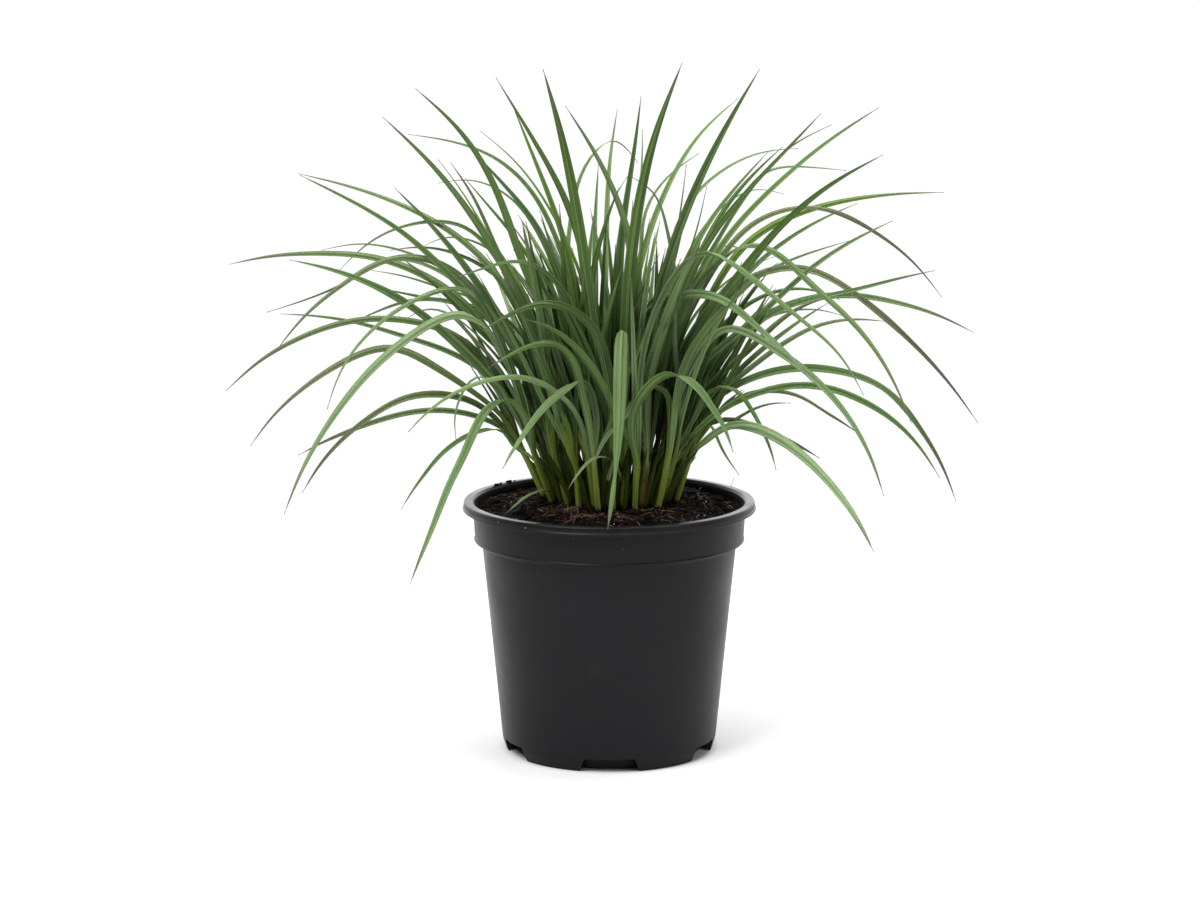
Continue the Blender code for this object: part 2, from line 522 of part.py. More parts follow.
class Shoot:
    """One shoot: a six-sided sheath whose top parts into three outer leaves and one in the middle."""

    def __init__(self, root):
        self.root = root
        self.leaves = []  # the read leaves that it is to grow
        self.grown = {}  # slot to its (rings, tip)
        self.first_slot_angle = math.atan2(root.y - CROWN_CENTRE.y, root.x - CROWN_CENTRE.x)
        self.top = []
        self.foot = []
        self.axis = Vector((0, 0, 1))

    def lay_out(self, height):
        outward = self.root - CROWN_CENTRE
        lean = Vector((outward.x, outward.y, 0.0)) * LEAN_OUTWARD + Vector((0, 0, LEAN_UPRIGHT))
        for leaf in self.leaves:
            first = read_points(self, leaf, 0.0, 0.0)[0]
            lean += (first - self.root).normalized() * LEAN_TO_LEAF
        angle = min(MOST_LEAN, Vector((0, 0, 1)).angle(lean))
        flat = Vector((lean.x, lean.y, 0.0)).normalized()
        self.axis = flat * math.sin(angle) + Vector((0, 0, 1)) * math.cos(angle)
        centre = self.root + self.axis * height
        for number in range(2 * OUTER_SLOTS):
            turn = self.first_slot_angle + math.pi / OUTER_SLOTS * (number - 1)
            out = Vector((math.cos(turn), math.sin(turn), 0.0))
            self.foot.append(self.root + out * SHEATH_FOOT_RADIUS)
            across = (out - self.axis * out.dot(self.axis)).normalized()
            self.top.append(centre + across * SHEATH_TOP_RADIUS)

    def base(self, slot):
        if slot == OUTER_SLOTS:
            return self.top[0], self.top[2], self.top[4]
        first = 2 * slot
        return self.top[first], self.top[first + 1], self.top[(first + 2) % len(self.top)]

    def middle_of(self, slot):
        return sum(self.base(slot), Vector()) / 3

    def slot_angle(self, slot):
        return self.first_slot_angle + math.tau / OUTER_SLOTS * slot

    def sheath_faces(self):
        sides = 2 * OUTER_SLOTS
        faces = []
        for i in range(sides):
            j = (i + 1) % sides
            faces.append((i, j, sides + j))
            faces.append((i, sides + j, sides + i))
        for i in range(1, sides - 1):
            faces.append((0, i + 1, i))
        return faces

    def mesh_data(self):
        """Vertices and triangles of the whole shoot, closed."""
        verts = [*self.foot, *self.top]
        faces = self.sheath_faces()
        sides = len(self.foot)
        for slot in range(OUTER_SLOTS + 1):
            if slot == OUTER_SLOTS:
                base = [sides, sides + 2, sides + 4]
            else:
                base = [sides + 2 * slot, sides + 2 * slot + 1, sides + (2 * slot + 2) % sides]
            if slot not in self.grown:
                faces.append(tuple(base))
                continue
            rings, tip = self.grown[slot]
            leaf_verts, leaf_faces = loft([self.base(slot), *rings], tip)
            index = base + list(range(len(verts), len(verts) + len(leaf_verts) - 3))
            verts += leaf_verts[3:]
            faces += [tuple(index[i] for i in face) for face in leaf_faces]
        return verts, faces


def tree_of(verts, faces):
    return BVHTree.FromPolygons([vert[:] for vert in verts], faces)


def bounds(verts):
    low = [min(vert[i] for vert in verts) for i in range(3)]
    high = [max(vert[i] for vert in verts) for i in range(3)]
    return low, high


class Crowd:
    """What has grown so far, to keep new leaves clear of it.

    Each piece is kept whole, for other shoots, and parted from the sheath's top, for its own shoot,
    whose pieces meet there.
    """

    def __init__(self):
        self.pieces = []

    def add(self, owner, whole, parted):
        self.pieces.append((owner, bounds(whole[0]), tree_of(*whole), tree_of(*parted)))

    def clear_for(self, owner, whole, parted):
        low, high = bounds(whole[0])
        whole_tree = tree_of(*whole)
        parted_tree = tree_of(*parted)
        for other, (other_low, other_high), other_whole, other_parted in self.pieces:
            if any(low[i] > other_high[i] or high[i] < other_low[i] for i in range(3)):
                continue
            if other is owner:
                touching = parted_tree.overlap(other_parted)
            else:
                touching = whole_tree.overlap(other_whole)
            if touching:
                return False
        return True


def crosses_itself(verts, faces):
    tree = tree_of(verts, faces)
    return any(not set(faces[a]) & set(faces[b]) for a, b in tree.overlap(tree))


def resized(ring, factor, shift=Vector()):
    """A ring scaled about its middle, then moved."""
    centre = sum(ring, Vector()) / len(ring)
    return tuple(centre + (corner - centre) * factor + shift for corner in ring)


def grow(shoot, slot, points, width, facing, crowd):
    """Puts a leaf in a slot if it is clear of its neighbours there."""
    base = shoot.base(slot)
    parted_base = resized(base, PARTED_SIZE, shoot.axis * PARTED_BY)
    line = smooth_line([shoot.middle_of(slot), *points], shoot.axis)
    tip = line[-1]
    fat_rings = leaf_rings(base, line, width + 3 * GAP, facing)
    fat_base = resized(base, FAT_BASE_SIZE)
    if not crowd.clear_for(shoot, loft([fat_base, *fat_rings], tip), loft([parted_base, *fat_rings], tip)):
        return False
    rings = leaf_rings(base, line, width, facing)
    leaf = loft([base, *rings], tip)
    if crosses_itself(*leaf):
        return False
    shoot.grown[slot] = (rings, tip)
    crowd.add(shoot, leaf, loft([parted_base, *rings], tip))
    return True


def read_points(shoot, leaf, shift, bulge):
    """A read leaf's places: its depth grows from the root's to the tip's, with a bulge on the way.

    Its lower part gives way towards the shoot that it grows from.
    """
    root, _, tip_depth, *marks = leaf
    start = Vector(shown(shoot.root))
    moved = start.x - shown(Vector((root[0] * MM, root[1] * MM, shoot.root.z)))[0]
    flat = [start] + [Vector(mark) * MM for mark in marks]
    lengths = [0.0]
    for a, b in zip(flat, flat[1:]):
        lengths.append(lengths[-1] + (b - a).length)
    tip = tip_depth * MM + shift
    points = []
    for mark, length in zip(flat[1:], lengths[1:]):
        share = length / lengths[-1]
        eased = EASED_BY * max(0.0, 1 - share / EASED_SHARE)
        depth = shoot.root.y + (tip - shoot.root.y) * share**DEPTH_CURVE + bulge * 4 * share * (1 - share)
        points.append(seen_from_front(mark.x + moved * eased, mark.y, depth))
    return points


def arch_points(start, azimuth, lean, bend, length):
    """Places along a leaf that leaves its sheath at a lean and bends over as it goes out."""
    outward = Vector((math.cos(azimuth), math.sin(azimuth), 0.0))
    place = start
    places = []
    for step in range(ARCH_STEPS):
        angle = lean + bend * ((step + 0.5) / ARCH_STEPS) ** ARCH_CURVE
        along = outward * math.sin(angle) + Vector((0, 0, 1)) * math.cos(angle)
        place = place + along * (length / ARCH_STEPS)
        places.append(place)
    every = ARCH_STEPS // ARCH_PLACES
    return places[every - 1 :: every]


def dense_half_width(up):
    for (low, a), (high, b) in zip(DENSE_EDGE, DENSE_EDGE[1:]):
        if low <= up <= high:
            return a + (b - a) * (up - low) / (high - low)
    return 0.0


def in_the_middle(points):
    """Whether a leaf stays within the dense middle of the clump as it shows from the front."""
    for place in points:
        across, up = shown(place)
        if up > DENSE_TOP or abs(across) > dense_half_width(up):
            return False
        if up < CROWN_TOP and place.y < 0:
            return False
        if place.y < -FRONT_PART and up < LOWEST_IN_FRONT:
            return False
        if not -REACH_FORWARD < place.y < REACH_BACK:
            return False
    return True


def crown_places():
    """Roots spread over the crown, from its middle out."""
    places = []
    for number in range(SHOOT_COUNT):
        radius = CROWN_RADIUS * math.sqrt((number + FIRST_ROOT) / SHOOT_COUNT)
        angle = number * GOLDEN_ANGLE
        x = CROWN_CENTRE.x + radius * math.cos(angle)
        y = CROWN_CENTRE.y + radius * math.sin(angle)
        places.append(Vector((x, y, SOIL_TOP + GAP)))
    return places


def misfit(shoot, leaves):
    """How ill a shoot suits these read leaves: how far it is from their roots, and how many they are."""
    total = LOAD_WEIGHT * len(leaves) ** 2
    for root, *_ in leaves:
        across = shown(shoot.root)[0] - shown(Vector((root[0] * MM, root[1] * MM, shoot.root.z)))[0]
        total += across**2 + (BACK_WEIGHT * (shoot.root.y - root[1] * MM)) ** 2
    return total


def exchange(shoot, other):
    """Gives a leaf of one shoot to another, or exchanges two of theirs, if that suits them better."""
    before = misfit(shoot, shoot.leaves) + misfit(other, other.leaves)
    for leaf, returned in itertools.product(shoot.leaves, [None, *other.leaves]):
        kept = [mine for mine in shoot.leaves if mine is not leaf]
        taken = [theirs for theirs in other.leaves if theirs is not returned] + [leaf]
        if returned:
            kept.append(returned)
        if len(taken) <= OUTER_SLOTS and misfit(shoot, kept) + misfit(other, taken) < before * 0.999:
            shoot.leaves, other.leaves = kept, taken
            return True
    return False


def share_out_read_leaves(shoots):
    """Gives each read leaf to a shoot with room near its root."""
    for leaf in READ_LEAVES:
        free = [shoot for shoot in shoots if len(shoot.leaves) < OUTER_SLOTS]
        min(free, key=lambda s: misfit(s, [leaf])).leaves.append(leaf)
    pairs = list(itertools.permutations(shoots, 2))
    while any([exchange(shoot, other) for shoot, other in pairs]):
        continue


def free_slots(shoot, tip):
    """The shoot's free slots, with the one that suits a leaf with this tip best first."""
    out = tip - shoot.root
    angle = math.atan2(out.y, out.x)
    scored = [(Vector((0, 0, 1)).angle(out), OUTER_SLOTS)]
    for slot in range(OUTER_SLOTS):
        off = abs((angle - shoot.slot_angle(slot) + math.pi) % math.tau - math.pi)
        scored.append((off * SIDE_WEIGHT, slot))
    return [slot for _, slot in sorted(scored) if slot not in shoot.grown]


def grow_read_leaf(shoot, leaf, crowd):
    """Grows a leaf that was read from the front, moving it along the line of sight until it is clear."""
    width = leaf[1] * MM
    slots = free_slots(shoot, read_points(shoot, leaf, 0.0, 0.0)[-1])
    for thin, shift, bulge, slot in itertools.product(WIDTH_TRIES, SHIFT_TRIES, BULGE_TRIES, slots):
        points = read_points(shoot, leaf, shift * MM, bulge * MM)
        if grow(shoot, slot, points, width * thin, FACING, crowd):
            return True
    return False


def grow_read_leaves(shoots, crowd):
    """Grows the read leaves from their own shoots, and those with no room there from the nearest that has."""
    left = []
    for shoot in shoots:
        for leaf in shoot.leaves:
            if not grow_read_leaf(shoot, leaf, crowd):
                left.append((shoot, leaf))
    for shoot, leaf in left:
        nearest = sorted(shoots, key=lambda s: (s.root - shoot.root).length)
        for other in nearest[1 : 1 + NEIGHBOURS_TRIED]:
            if grow_read_leaf(other, leaf, crowd):
                break


def grow_middle_leaves(shoots, crowd, random_source):
    """Fills the free slots with leaves that keep to the dense middle and to the far side."""
    for shoot in shoots:
        out = shoot.root - CROWN_CENTRE
        away = math.hypot(out.x, out.y) / CROWN_RADIUS
        for slot in range(OUTER_SLOTS, -1, -1):
            if slot in shoot.grown:
                continue
            for attempt in range(NEW_TRIES):
                spread = TURN_SPREAD[0] + (TURN_SPREAD[1] - TURN_SPREAD[0]) * away
                azimuth = math.atan2(out.y, out.x) + random_source.gauss(0, spread)
                lean = LEAN + LEAN_OUT * away + random_source.uniform(*LEAN_SPREAD)
                upright = slot == OUTER_SLOTS or random_source.random() < UPRIGHT_SHARE
                form = MIDDLE_LEAF if upright else OUTER_LEAF
                size = 1 - TRY_SHRINK * attempt
                bend = math.radians(random_source.uniform(*form["bend"]))
                length = random_source.uniform(*form["length"]) * size
                width = random_source.uniform(*LEAF_WIDTH) * MM * size
                facing = random_source.uniform(0, FACING)
                points = arch_points(shoot.middle_of(slot), azimuth, lean, bend, length)
                if in_the_middle(points) and grow(shoot, slot, points, width, facing, crowd):
                    break


def make_shoots(parts):
    random_source = random.Random(SEED)
    shoots = [Shoot(root) for root in crown_places()]
    share_out_read_leaves(shoots)
    crowd = Crowd()
    for shoot in shoots:
        shoot.lay_out(random_source.uniform(*SHEATH_HEIGHT))
        parted_top = resized(shoot.top, PARTED_SIZE, -shoot.axis * PARTED_BY)
        faces = shoot.sheath_faces()
        crowd.add(shoot, ([*shoot.foot, *shoot.top], faces), ([*shoot.foot, *parted_top], faces))
    outermost_first = sorted(shoots, key=lambda s: -(s.root - CROWN_CENTRE).to_2d().length)
    grow_read_leaves(outermost_first, crowd)
    grow_middle_leaves(outermost_first, crowd, random_source)
    for number, shoot in enumerate(shoots, 1):
        verts, faces = shoot.mesh_data()
        name = f"shoot_{number:02d}"
        mesh = bpy.data.meshes.new(name)
        mesh.from_pydata(verts, [], faces)
        add_object(name, mesh, parts)
        colour = INNER_COLOUR.lerp(OUTER_COLOUR, number / SHOOT_COUNT)
        finish(mesh, make_material(f"{name}_leaf", tuple(colour), 0.45))


def main():
    clear_scene()
    parts = make_collection("potted_grass_clump")
    cutters = make_collection("cutters")
    make_pot(parts, cutters, make_material("pot_plastic", (0.024, 0.024, 0.025), 0.42))
    make_soil(parts, make_material("potting_soil", (0.012, 0.008, 0.006), 0.95))
    make_shoots(parts)


main()
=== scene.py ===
"""Looks of a sedge clump in a black nursery pot: leaves, soil, fibres and pot, in metres with Z up."""

import math
import random

import bmesh
import bpy
import numpy as np
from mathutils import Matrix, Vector, noise
from mathutils.bvhtree import BVHTree


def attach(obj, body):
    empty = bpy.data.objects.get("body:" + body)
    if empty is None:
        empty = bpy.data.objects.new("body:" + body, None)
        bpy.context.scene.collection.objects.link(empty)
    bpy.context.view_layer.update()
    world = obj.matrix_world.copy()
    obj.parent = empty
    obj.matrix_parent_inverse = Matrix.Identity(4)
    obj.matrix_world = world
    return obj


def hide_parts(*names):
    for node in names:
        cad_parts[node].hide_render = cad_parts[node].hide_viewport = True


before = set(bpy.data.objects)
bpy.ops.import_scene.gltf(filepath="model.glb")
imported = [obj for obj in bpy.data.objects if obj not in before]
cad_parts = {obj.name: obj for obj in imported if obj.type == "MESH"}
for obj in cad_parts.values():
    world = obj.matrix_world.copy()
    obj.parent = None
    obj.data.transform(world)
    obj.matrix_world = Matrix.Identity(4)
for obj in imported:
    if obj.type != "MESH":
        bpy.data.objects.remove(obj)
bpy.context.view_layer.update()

MM = 0.001
UP = np.array([0, 0, 1.0])

# The camera, as worked out from the ellipses of the pot's rim, collar and foot
EYE = np.array([-0.006, -2.0, 0.549])
PITCH = 10.0
LENS = 94.23
SENSOR = 36.0

# The surroundings' strength: on matt things, in gloss from the front and from behind, and to the eye
WORLD_LIGHT = 0.19
GLOSS_FRONT = 0.035
GLOSS_BEHIND = 2.8
WORLD_SEEN = 1.05

# The clump: the level of the sheaths' feet, the middle and radius of the ring that they stand in, and how far
# the dense part reaches from its middle, as (height, radius)
ROOT_HEIGHT = 0.1634
CROWN = np.array([0.002, 0.009])
CROWN_RADIUS = 0.046
DENSE = np.array([
    (0.165, 0.046), (0.200, 0.062), (0.240, 0.092), (0.290, 0.118), (0.320, 0.098), (0.345, 0.066),
    (0.362, 0.030),
])

# A leaf's mesh: faces from its keel to each edge, the length of a step, and steps in its sheath. Within the
# clump a coarser mesh does.
ACROSS = 6
BLADE_STEP = 0.0052
SHEATH_STEPS = 8
COARSER = 1.5
NECK = 0.036  # length over which a leaf turns from its sheath's arc to its own fold

YOUNG_LEAVES = 7  # tried in each shoot
YOUNG_STEPS = 24
OLD_BASES = 130

# Arches in front that pass a little nearer to the eye, or further, than their neighbours: where the tip
# shows, and by how much, in millimetres
NEARER = (((-69, 184), 5.0), ((-78, 250), -3.0))
# The leaf that hangs over the rim twists near its end: shares of its length and of its width
TWISTED_WIDTH = ((0.655, 0.76, 0.84, 0.895, 0.945, 1.0), (1.0, 0.77, 0.38, 0.92, 1.15, 1.15))


# Places as the camera shows them
def from_front(place):
    """Where a place shows in the upright plane through the pot's axis: (across, up)."""
    share = -EYE[1] / (place[1] - EYE[1])
    return EYE[0] + (place[0] - EYE[0]) * share, EYE[2] + (place[2] - EYE[2]) * share


def seen(across, up, depth):
    """The place this far back that shows at (across, up) in that plane, all in millimetres."""
    share = (depth * MM - EYE[1]) / -EYE[1]
    x, z = EYE[0] + (across * MM - EYE[0]) * share, EYE[2] + (up * MM - EYE[2]) * share
    return np.array([x, depth * MM, z])


def on_soil(across, up):
    """The place on the soil that shows at (across, up) millimetres in that plane."""
    depth = 0.0
    for _ in range(8):
        x, y, _ = seen(across, up, depth)
        share = (EYE[2] - soil_height(x, y)) / (EYE[2] - up * MM)
        depth = (EYE[1] + share * -EYE[1]) / MM
    return seen(across, up, depth)


def on_pot(across, up, radius):
    """The place on the front of the pot, this far from its axis in millimetres, that shows there."""
    depth = -radius
    for _ in range(8):
        depth = -math.sqrt(radius**2 - (seen(across, up, depth)[0] / MM) ** 2)
    return seen(across, up, depth)


# Nodes
class Nodes:
    """A node tree, with a short way to add and join nodes."""

    def __init__(self, tree):
        self.tree = tree

    def join(self, value, socket):
        if isinstance(value, bpy.types.NodeSocket):
            self.tree.links.new(value, socket)
        elif isinstance(value, (tuple, list)) and len(value) == 3 and socket.type == "RGBA":
            socket.default_value = (*value, 1.0)
        else:
            socket.default_value = value

    def add(self, kind, inputs=(), **settings):
        node = self.tree.nodes.new(kind)
        for name, value in settings.items():
            setattr(node, name, value)
        for name, value in dict(inputs).items():
            self.join(value, node.inputs[name])
        return node

    def maths(self, operation, a, b=0.0):
        node = self.add("ShaderNodeMath", operation=operation)
        self.join(a, node.inputs[0])
        self.join(b, node.inputs[1])
        return node.outputs[0]

    def times(self, *values):
        product = values[0]
        for value in values[1:]:
            product = self.maths("MULTIPLY", product, value)
        return product

    def span(self, value, low, high, to_low=0.0, to_high=1.0, smooth=True):
        """The value, moved from one range to another and held within it."""
        node = self.add("ShaderNodeMapRange", interpolation_type="SMOOTHSTEP" if smooth else "LINEAR")
        self.join(value, node.inputs["Value"])
        for name, number in (("From Min", low), ("From Max", high), ("To Min", to_low), ("To Max", to_high)):
            self.join(number, node.inputs[name])
        return node.outputs["Result"]

    def mix(self, factor, a, b, blend="MIX"):
        node = self.add("ShaderNodeMix", data_type="RGBA", blend_type=blend)
        for name, value in (("Factor", factor), ("A", a), ("B", b)):
            self.join(value, node.inputs[name])
        return node.outputs["Result"]

    def tinted(self, factor, colour, tint):
        """The colour, multiplied by a tint as far as factor says."""
        return self.mix(factor, colour, self.mix(1.0, colour, tint, "MULTIPLY"))

    def vector(self, x, y, z=0.0):
        return self.add("ShaderNodeCombineXYZ", {"X": x, "Y": y, "Z": z}).outputs[0]

    def parts(self, vector):
        return self.add("ShaderNodeSeparateXYZ", {"Vector": vector}).outputs

    def noise(self, scale, detail=3.0, roughness=0.5, place=None):
        inputs = {"Vector": place or self.place(), "Scale": scale, "Detail": detail, "Roughness": roughness}
        return self.add("ShaderNodeTexNoise", inputs).outputs["Fac"]

    def length(self, vector):
        return self.add("ShaderNodeVectorMath", {"Vector": vector}, operation="LENGTH").outputs["Value"]

    def attribute(self, name):
        return self.add("ShaderNodeAttribute", attribute_name=name).outputs

    def place(self):
        return self.add("ShaderNodeTexCoord").outputs["Object"]

    def bump(self, height, strength, distance, below=None):
        node = self.add("ShaderNodeBump", {"Height": height, "Strength": strength, "Distance": distance})
        if below is not None:
            self.join(below, node.inputs["Normal"])
        return node.outputs["Normal"]


class Shader(Nodes):
    """A node material."""

    def __init__(self, name):
        self.material = bpy.data.materials.new(name)
        self.material.use_nodes = True
        super().__init__(self.material.node_tree)
        self.principled = self.tree.nodes["Principled BSDF"]
        self.output = self.tree.nodes["Material Output"]

    def set(self, **values):
        """Sets or joins inputs of the shader, such as Base_Color."""
        for name, value in values.items():
            self.join(value, self.principled.inputs[name.replace("_", " ")])

    def blend(self, factor, other):
        """Mixes another shader over the principled one."""
        both = self.add("ShaderNodeMixShader", {"Fac": factor})
        self.join(self.principled.outputs[0], both.inputs[1])
        self.join(other.outputs[0], both.inputs[2])
        self.join(both.outputs[0], self.output.inputs["Surface"])


# A leaf's tones from 0 to 1 and their greens: deep, middle, sage and lime
TONES = (0.0, 0.34, 0.67, 1.0)
GREENS = ((0.038, 0.086, 0.012), (0.086, 0.168, 0.026), (0.225, 0.325, 0.152), (0.130, 0.240, 0.016))
LEAF = {
    "upper side": (0.185, 0.300, 0.150),
    "patch": (0.62, 0.66, 0.50),  # multiplies
    "dark stripe": (0.50, 0.56, 0.42),  # multiplies
    "pale stripe": (0.190, 0.300, 0.115),
    "pale vein": (0.30, 0.40, 0.20),
    "dark vein": (0.035, 0.075, 0.022),
    "rib below": (0.22, 0.33, 0.13),
    "rib above": (0.040, 0.085, 0.026),
    "edge": (0.30, 0.38, 0.16),
    "olive": (0.176, 0.184, 0.094),
    "sheath": (0.345, 0.415, 0.064),
    "sheath stripe": (0.180, 0.245, 0.028),
    "foot": (0.300, 0.270, 0.090),
    "dry": (0.165, 0.095, 0.036),
    "tip": (0.135, 0.112, 0.096),
    "speck": (0.06, 0.05, 0.03),
    "soil": (0.018, 0.012, 0.008),
    # painted shade: the next colour multiplies leaves deep in the clump
    "inside": (0.17, 0.20, 0.14),  # multiplies
    "glow": (1.25, 1.35, 0.55),  # multiplies
}
SHOWS_THROUGH = 0.24


def leaf_material():
    """Sedge leaf. Its attribute leaf holds (place across from -1 to 1, share of length, way up from the soil
    in metres), tint holds (tone, age, upper side) and a third says how deep in the clump the leaf stands, by
    which the material paints shade on it."""
    s = Shader("sedge_leaf")
    across, share, way = s.parts(s.attribute("leaf")["Vector"])
    tone, age, upper = s.parts(s.attribute("tint")["Vector"])
    outward = s.maths("ABSOLUTE", across)

    def streaks(across_scale, way_scale, seed_scale, detail, roughness=0.5):
        """Noise that runs along the leaf."""
        scales = ((across, across_scale), (way, way_scale), (tone, seed_scale))
        return s.noise(1.0, detail, roughness, s.vector(*(s.times(value, scale) for value, scale in scales)))

    def laid(name, colour, amount, strength):
        """The colour with a named one laid over it."""
        return s.mix(s.times(amount, strength), colour, LEAF[name])

    patch = streaks(0.6, 26.0, 37.0, 4.0, 0.6)
    broad = streaks(3.4, 1.5, 91.0, 1.0)
    wander = streaks(9.0, 5.0, 51.0, 2.0)
    fine = s.maths("SINE", s.times(across, 19.0))
    clear = s.span(share, 0.30, 0.80, 1.0, 0.15)  # the veins fade towards the tip

    colour = GREENS[0]
    for low, high, green in zip(TONES, TONES[1:], GREENS[1:]):
        colour = s.mix(s.span(tone, low, high), colour, green)
    colour = laid("upper side", colour, upper, 0.20)
    colour = s.tinted(s.span(patch, 0.35, 0.7, 0.0, 0.5), colour, LEAF["patch"])
    # parallel veins, with broader stripes below them
    colour = s.tinted(s.span(broad, 0.42, 0.66, 0.0, 0.55), colour, LEAF["dark stripe"])
    colour = s.mix(s.span(broad, 0.50, 0.30, 0.0, 0.30), colour, LEAF["pale stripe"])
    pale_vein = s.times(s.span(fine, 0.2, 1.0), s.span(wander, 0.35, 0.7), clear)
    colour = laid("pale vein", colour, pale_vein, 0.26)
    dark_vein = s.times(s.span(fine, -0.2, -1.0), s.span(wander, 0.6, 0.3), clear)
    colour = laid("dark vein", colour, dark_vein, 0.28)
    # midrib and edges
    rib = s.span(outward, 0.02, 0.09, 1.0, 0.0)
    colour = s.mix(s.times(rib, 0.45), colour, s.mix(upper, LEAF["rib below"], LEAF["rib above"]))
    edge = s.times(s.span(outward, 0.90, 0.99), clear)
    colour = laid("edge", colour, edge, 0.45)
    # older leaves turn olive along their outer part
    olive = s.times(s.span(age, 0.25, 0.75), s.span(share, 0.10, 0.75))
    colour = laid("olive", colour, olive, 0.75)
    # sheath: yellow green, pale at the foot, and brown on dry leaves
    low = s.span(way, 0.054, 0.014)
    sheath = s.mix(s.span(broad, 0.35, 0.6), LEAF["sheath"], LEAF["sheath stripe"])
    colour = s.mix(s.times(low, 0.85), colour, sheath)
    foot = s.span(s.maths("ADD", way, s.times(wander, 0.008)), 0.016, 0.004)
    colour = laid("foot", colour, foot, 0.70)
    dry = s.times(s.span(age, 0.86, 0.98), s.span(way, 0.050, 0.012))
    colour = s.mix(dry, colour, LEAF["dry"])
    # grey purple tips, which reach further down on older leaves
    start = s.maths("SUBTRACT", 0.94, s.times(age, 0.50))
    ragged = s.times(s.maths("SUBTRACT", wander, 0.5), 0.12)
    tip = s.span(s.maths("ADD", share, ragged), start, 1.0)
    colour = laid("tip", colour, tip, 0.80)
    speck = s.span(s.noise(900.0, 2.0), 0.72, 0.80)
    colour = laid("speck", colour, speck, 0.35)
    # soil clings to the foot, and within the clump the leaves are darkened as painted shade
    soiled = s.span(s.maths("ADD", way, s.times(s.noise(700.0, 3.0), 0.008)), 0.0075, 0.0045)
    colour = laid("soil", colour, soiled, 0.85)
    colour = s.tinted(s.attribute("inside")["Fac"], colour, LEAF["inside"])

    ridge = s.times(s.maths("ADD", s.times(fine, 0.4), s.times(wander, 0.6)), clear)
    normal = s.bump(ridge, 0.22, 0.00010)
    s.set(Base_Color=colour, Roughness=s.span(patch, 0.2, 0.8, 0.36, 0.52, False), Specular_IOR_Level=0.27)
    s.set(Normal=normal)
    glow = s.mix(1.0, colour, LEAF["glow"], "MULTIPLY")
    s.blend(SHOWS_THROUGH, s.add("ShaderNodeBsdfTranslucent", {"Color": glow, "Normal": normal}))
    return s.material


# Heights between which the pot's inner wall shows, with its radius at each; there the pot gets painted shade
INNER_WALL = (0.1396, 0.1633, 0.0865, 0.0884)


def pot_material():
    """Satin black plastic with a thin film of dust, and painted shade on the collar's inner wall, which is
    darker and duller there.
    """
    s = Shader("satin_black_plastic")
    colour = s.mix(s.noise(9.0, 4.0, 0.55), (0.0062, 0.0060, 0.0070), (0.0092, 0.0089, 0.0102))
    dust = s.times(s.span(s.noise(1500.0, 1.0), 0.80, 0.84), s.span(s.noise(24.0, 2.0), 0.52, 0.66))
    colour = s.mix(s.times(dust, 0.8), colour, (0.36, 0.34, 0.31))
    film = s.times(s.span(s.noise(55.0, 5.0, 0.7), 0.55, 0.80), 0.10)
    colour = s.mix(film, colour, (0.045, 0.043, 0.040))
    x, y, z = s.parts(s.place())
    # painted shade: the inner wall above the soil is darker and its gloss is taken away
    within_wall = s.maths("SUBTRACT", s.span(z, *INNER_WALL, False), s.length(s.vector(x, y)))
    inner = s.times(s.span(within_wall, 0.0, 0.0003), s.span(z, 0.1628, 0.1618), s.span(z, 0.1385, 0.1400))
    colour = s.mix(inner, colour, (0.0030, 0.0028, 0.0027))
    rough = s.span(s.noise(40.0, 3.0), 0.3, 0.7, 0.33, 0.42, False)
    rim_polish = s.span(z, 0.1576, 0.1586, 0.0, 0.035)
    rough = s.maths("MAXIMUM", s.maths("SUBTRACT", rough, rim_polish), s.times(inner, 0.95))
    soft = s.bump(s.noise(130.0, 2.0), 0.12, 0.0004)
    s.set(Base_Color=colour, Roughness=rough, Specular_IOR_Level=0.13)
    s.set(Normal=s.bump(s.noise(2600.0, 2.0), 0.16, 0.00006, soft))
    return s.material


def soil_material():
    s = Shader("moist_peat")
    coarse = s.noise(90.0, 6.0, 0.7)
    fine = s.noise(520.0, 5.0, 0.7)
    colour = s.mix(s.span(coarse, 0.35, 0.68), (0.0018, 0.0014, 0.0012), (0.0062, 0.0040, 0.0031))
    colour = s.mix(s.span(fine, 0.60, 0.78), colour, (0.026, 0.0145, 0.0100))
    fleck = s.span(s.noise(1300.0, 2.0), 0.76, 0.80)
    colour = s.mix(s.times(fleck, 0.5), colour, (0.22, 0.16, 0.11))
    s.set(Base_Color=colour, Roughness=s.span(coarse, 0.3, 0.7, 0.62, 0.95, False), Specular_IOR_Level=0.03)
    s.set(Normal=s.bump(fine, 0.9, 0.0011, s.bump(coarse, 0.7, 0.002)))
    return s.material


def crumb_material(name, dark, light, rough):
    """Small loose things, each with its own colour between dark and light."""
    s = Shader(name)
    grain = s.noise(420.0, 4.0, 0.65)
    colour = s.mix(s.add("ShaderNodeNewGeometry").outputs["Random Per Island"], dark, light)
    colour = s.tinted(s.span(grain, 0.35, 0.7, 0.0, 0.6), colour, (0.45, 0.42, 0.40))
    s.set(Base_Color=colour, Roughness=rough, Specular_IOR_Level=0.06, Normal=s.bump(grain, 0.6, 0.0003))
    return s.material


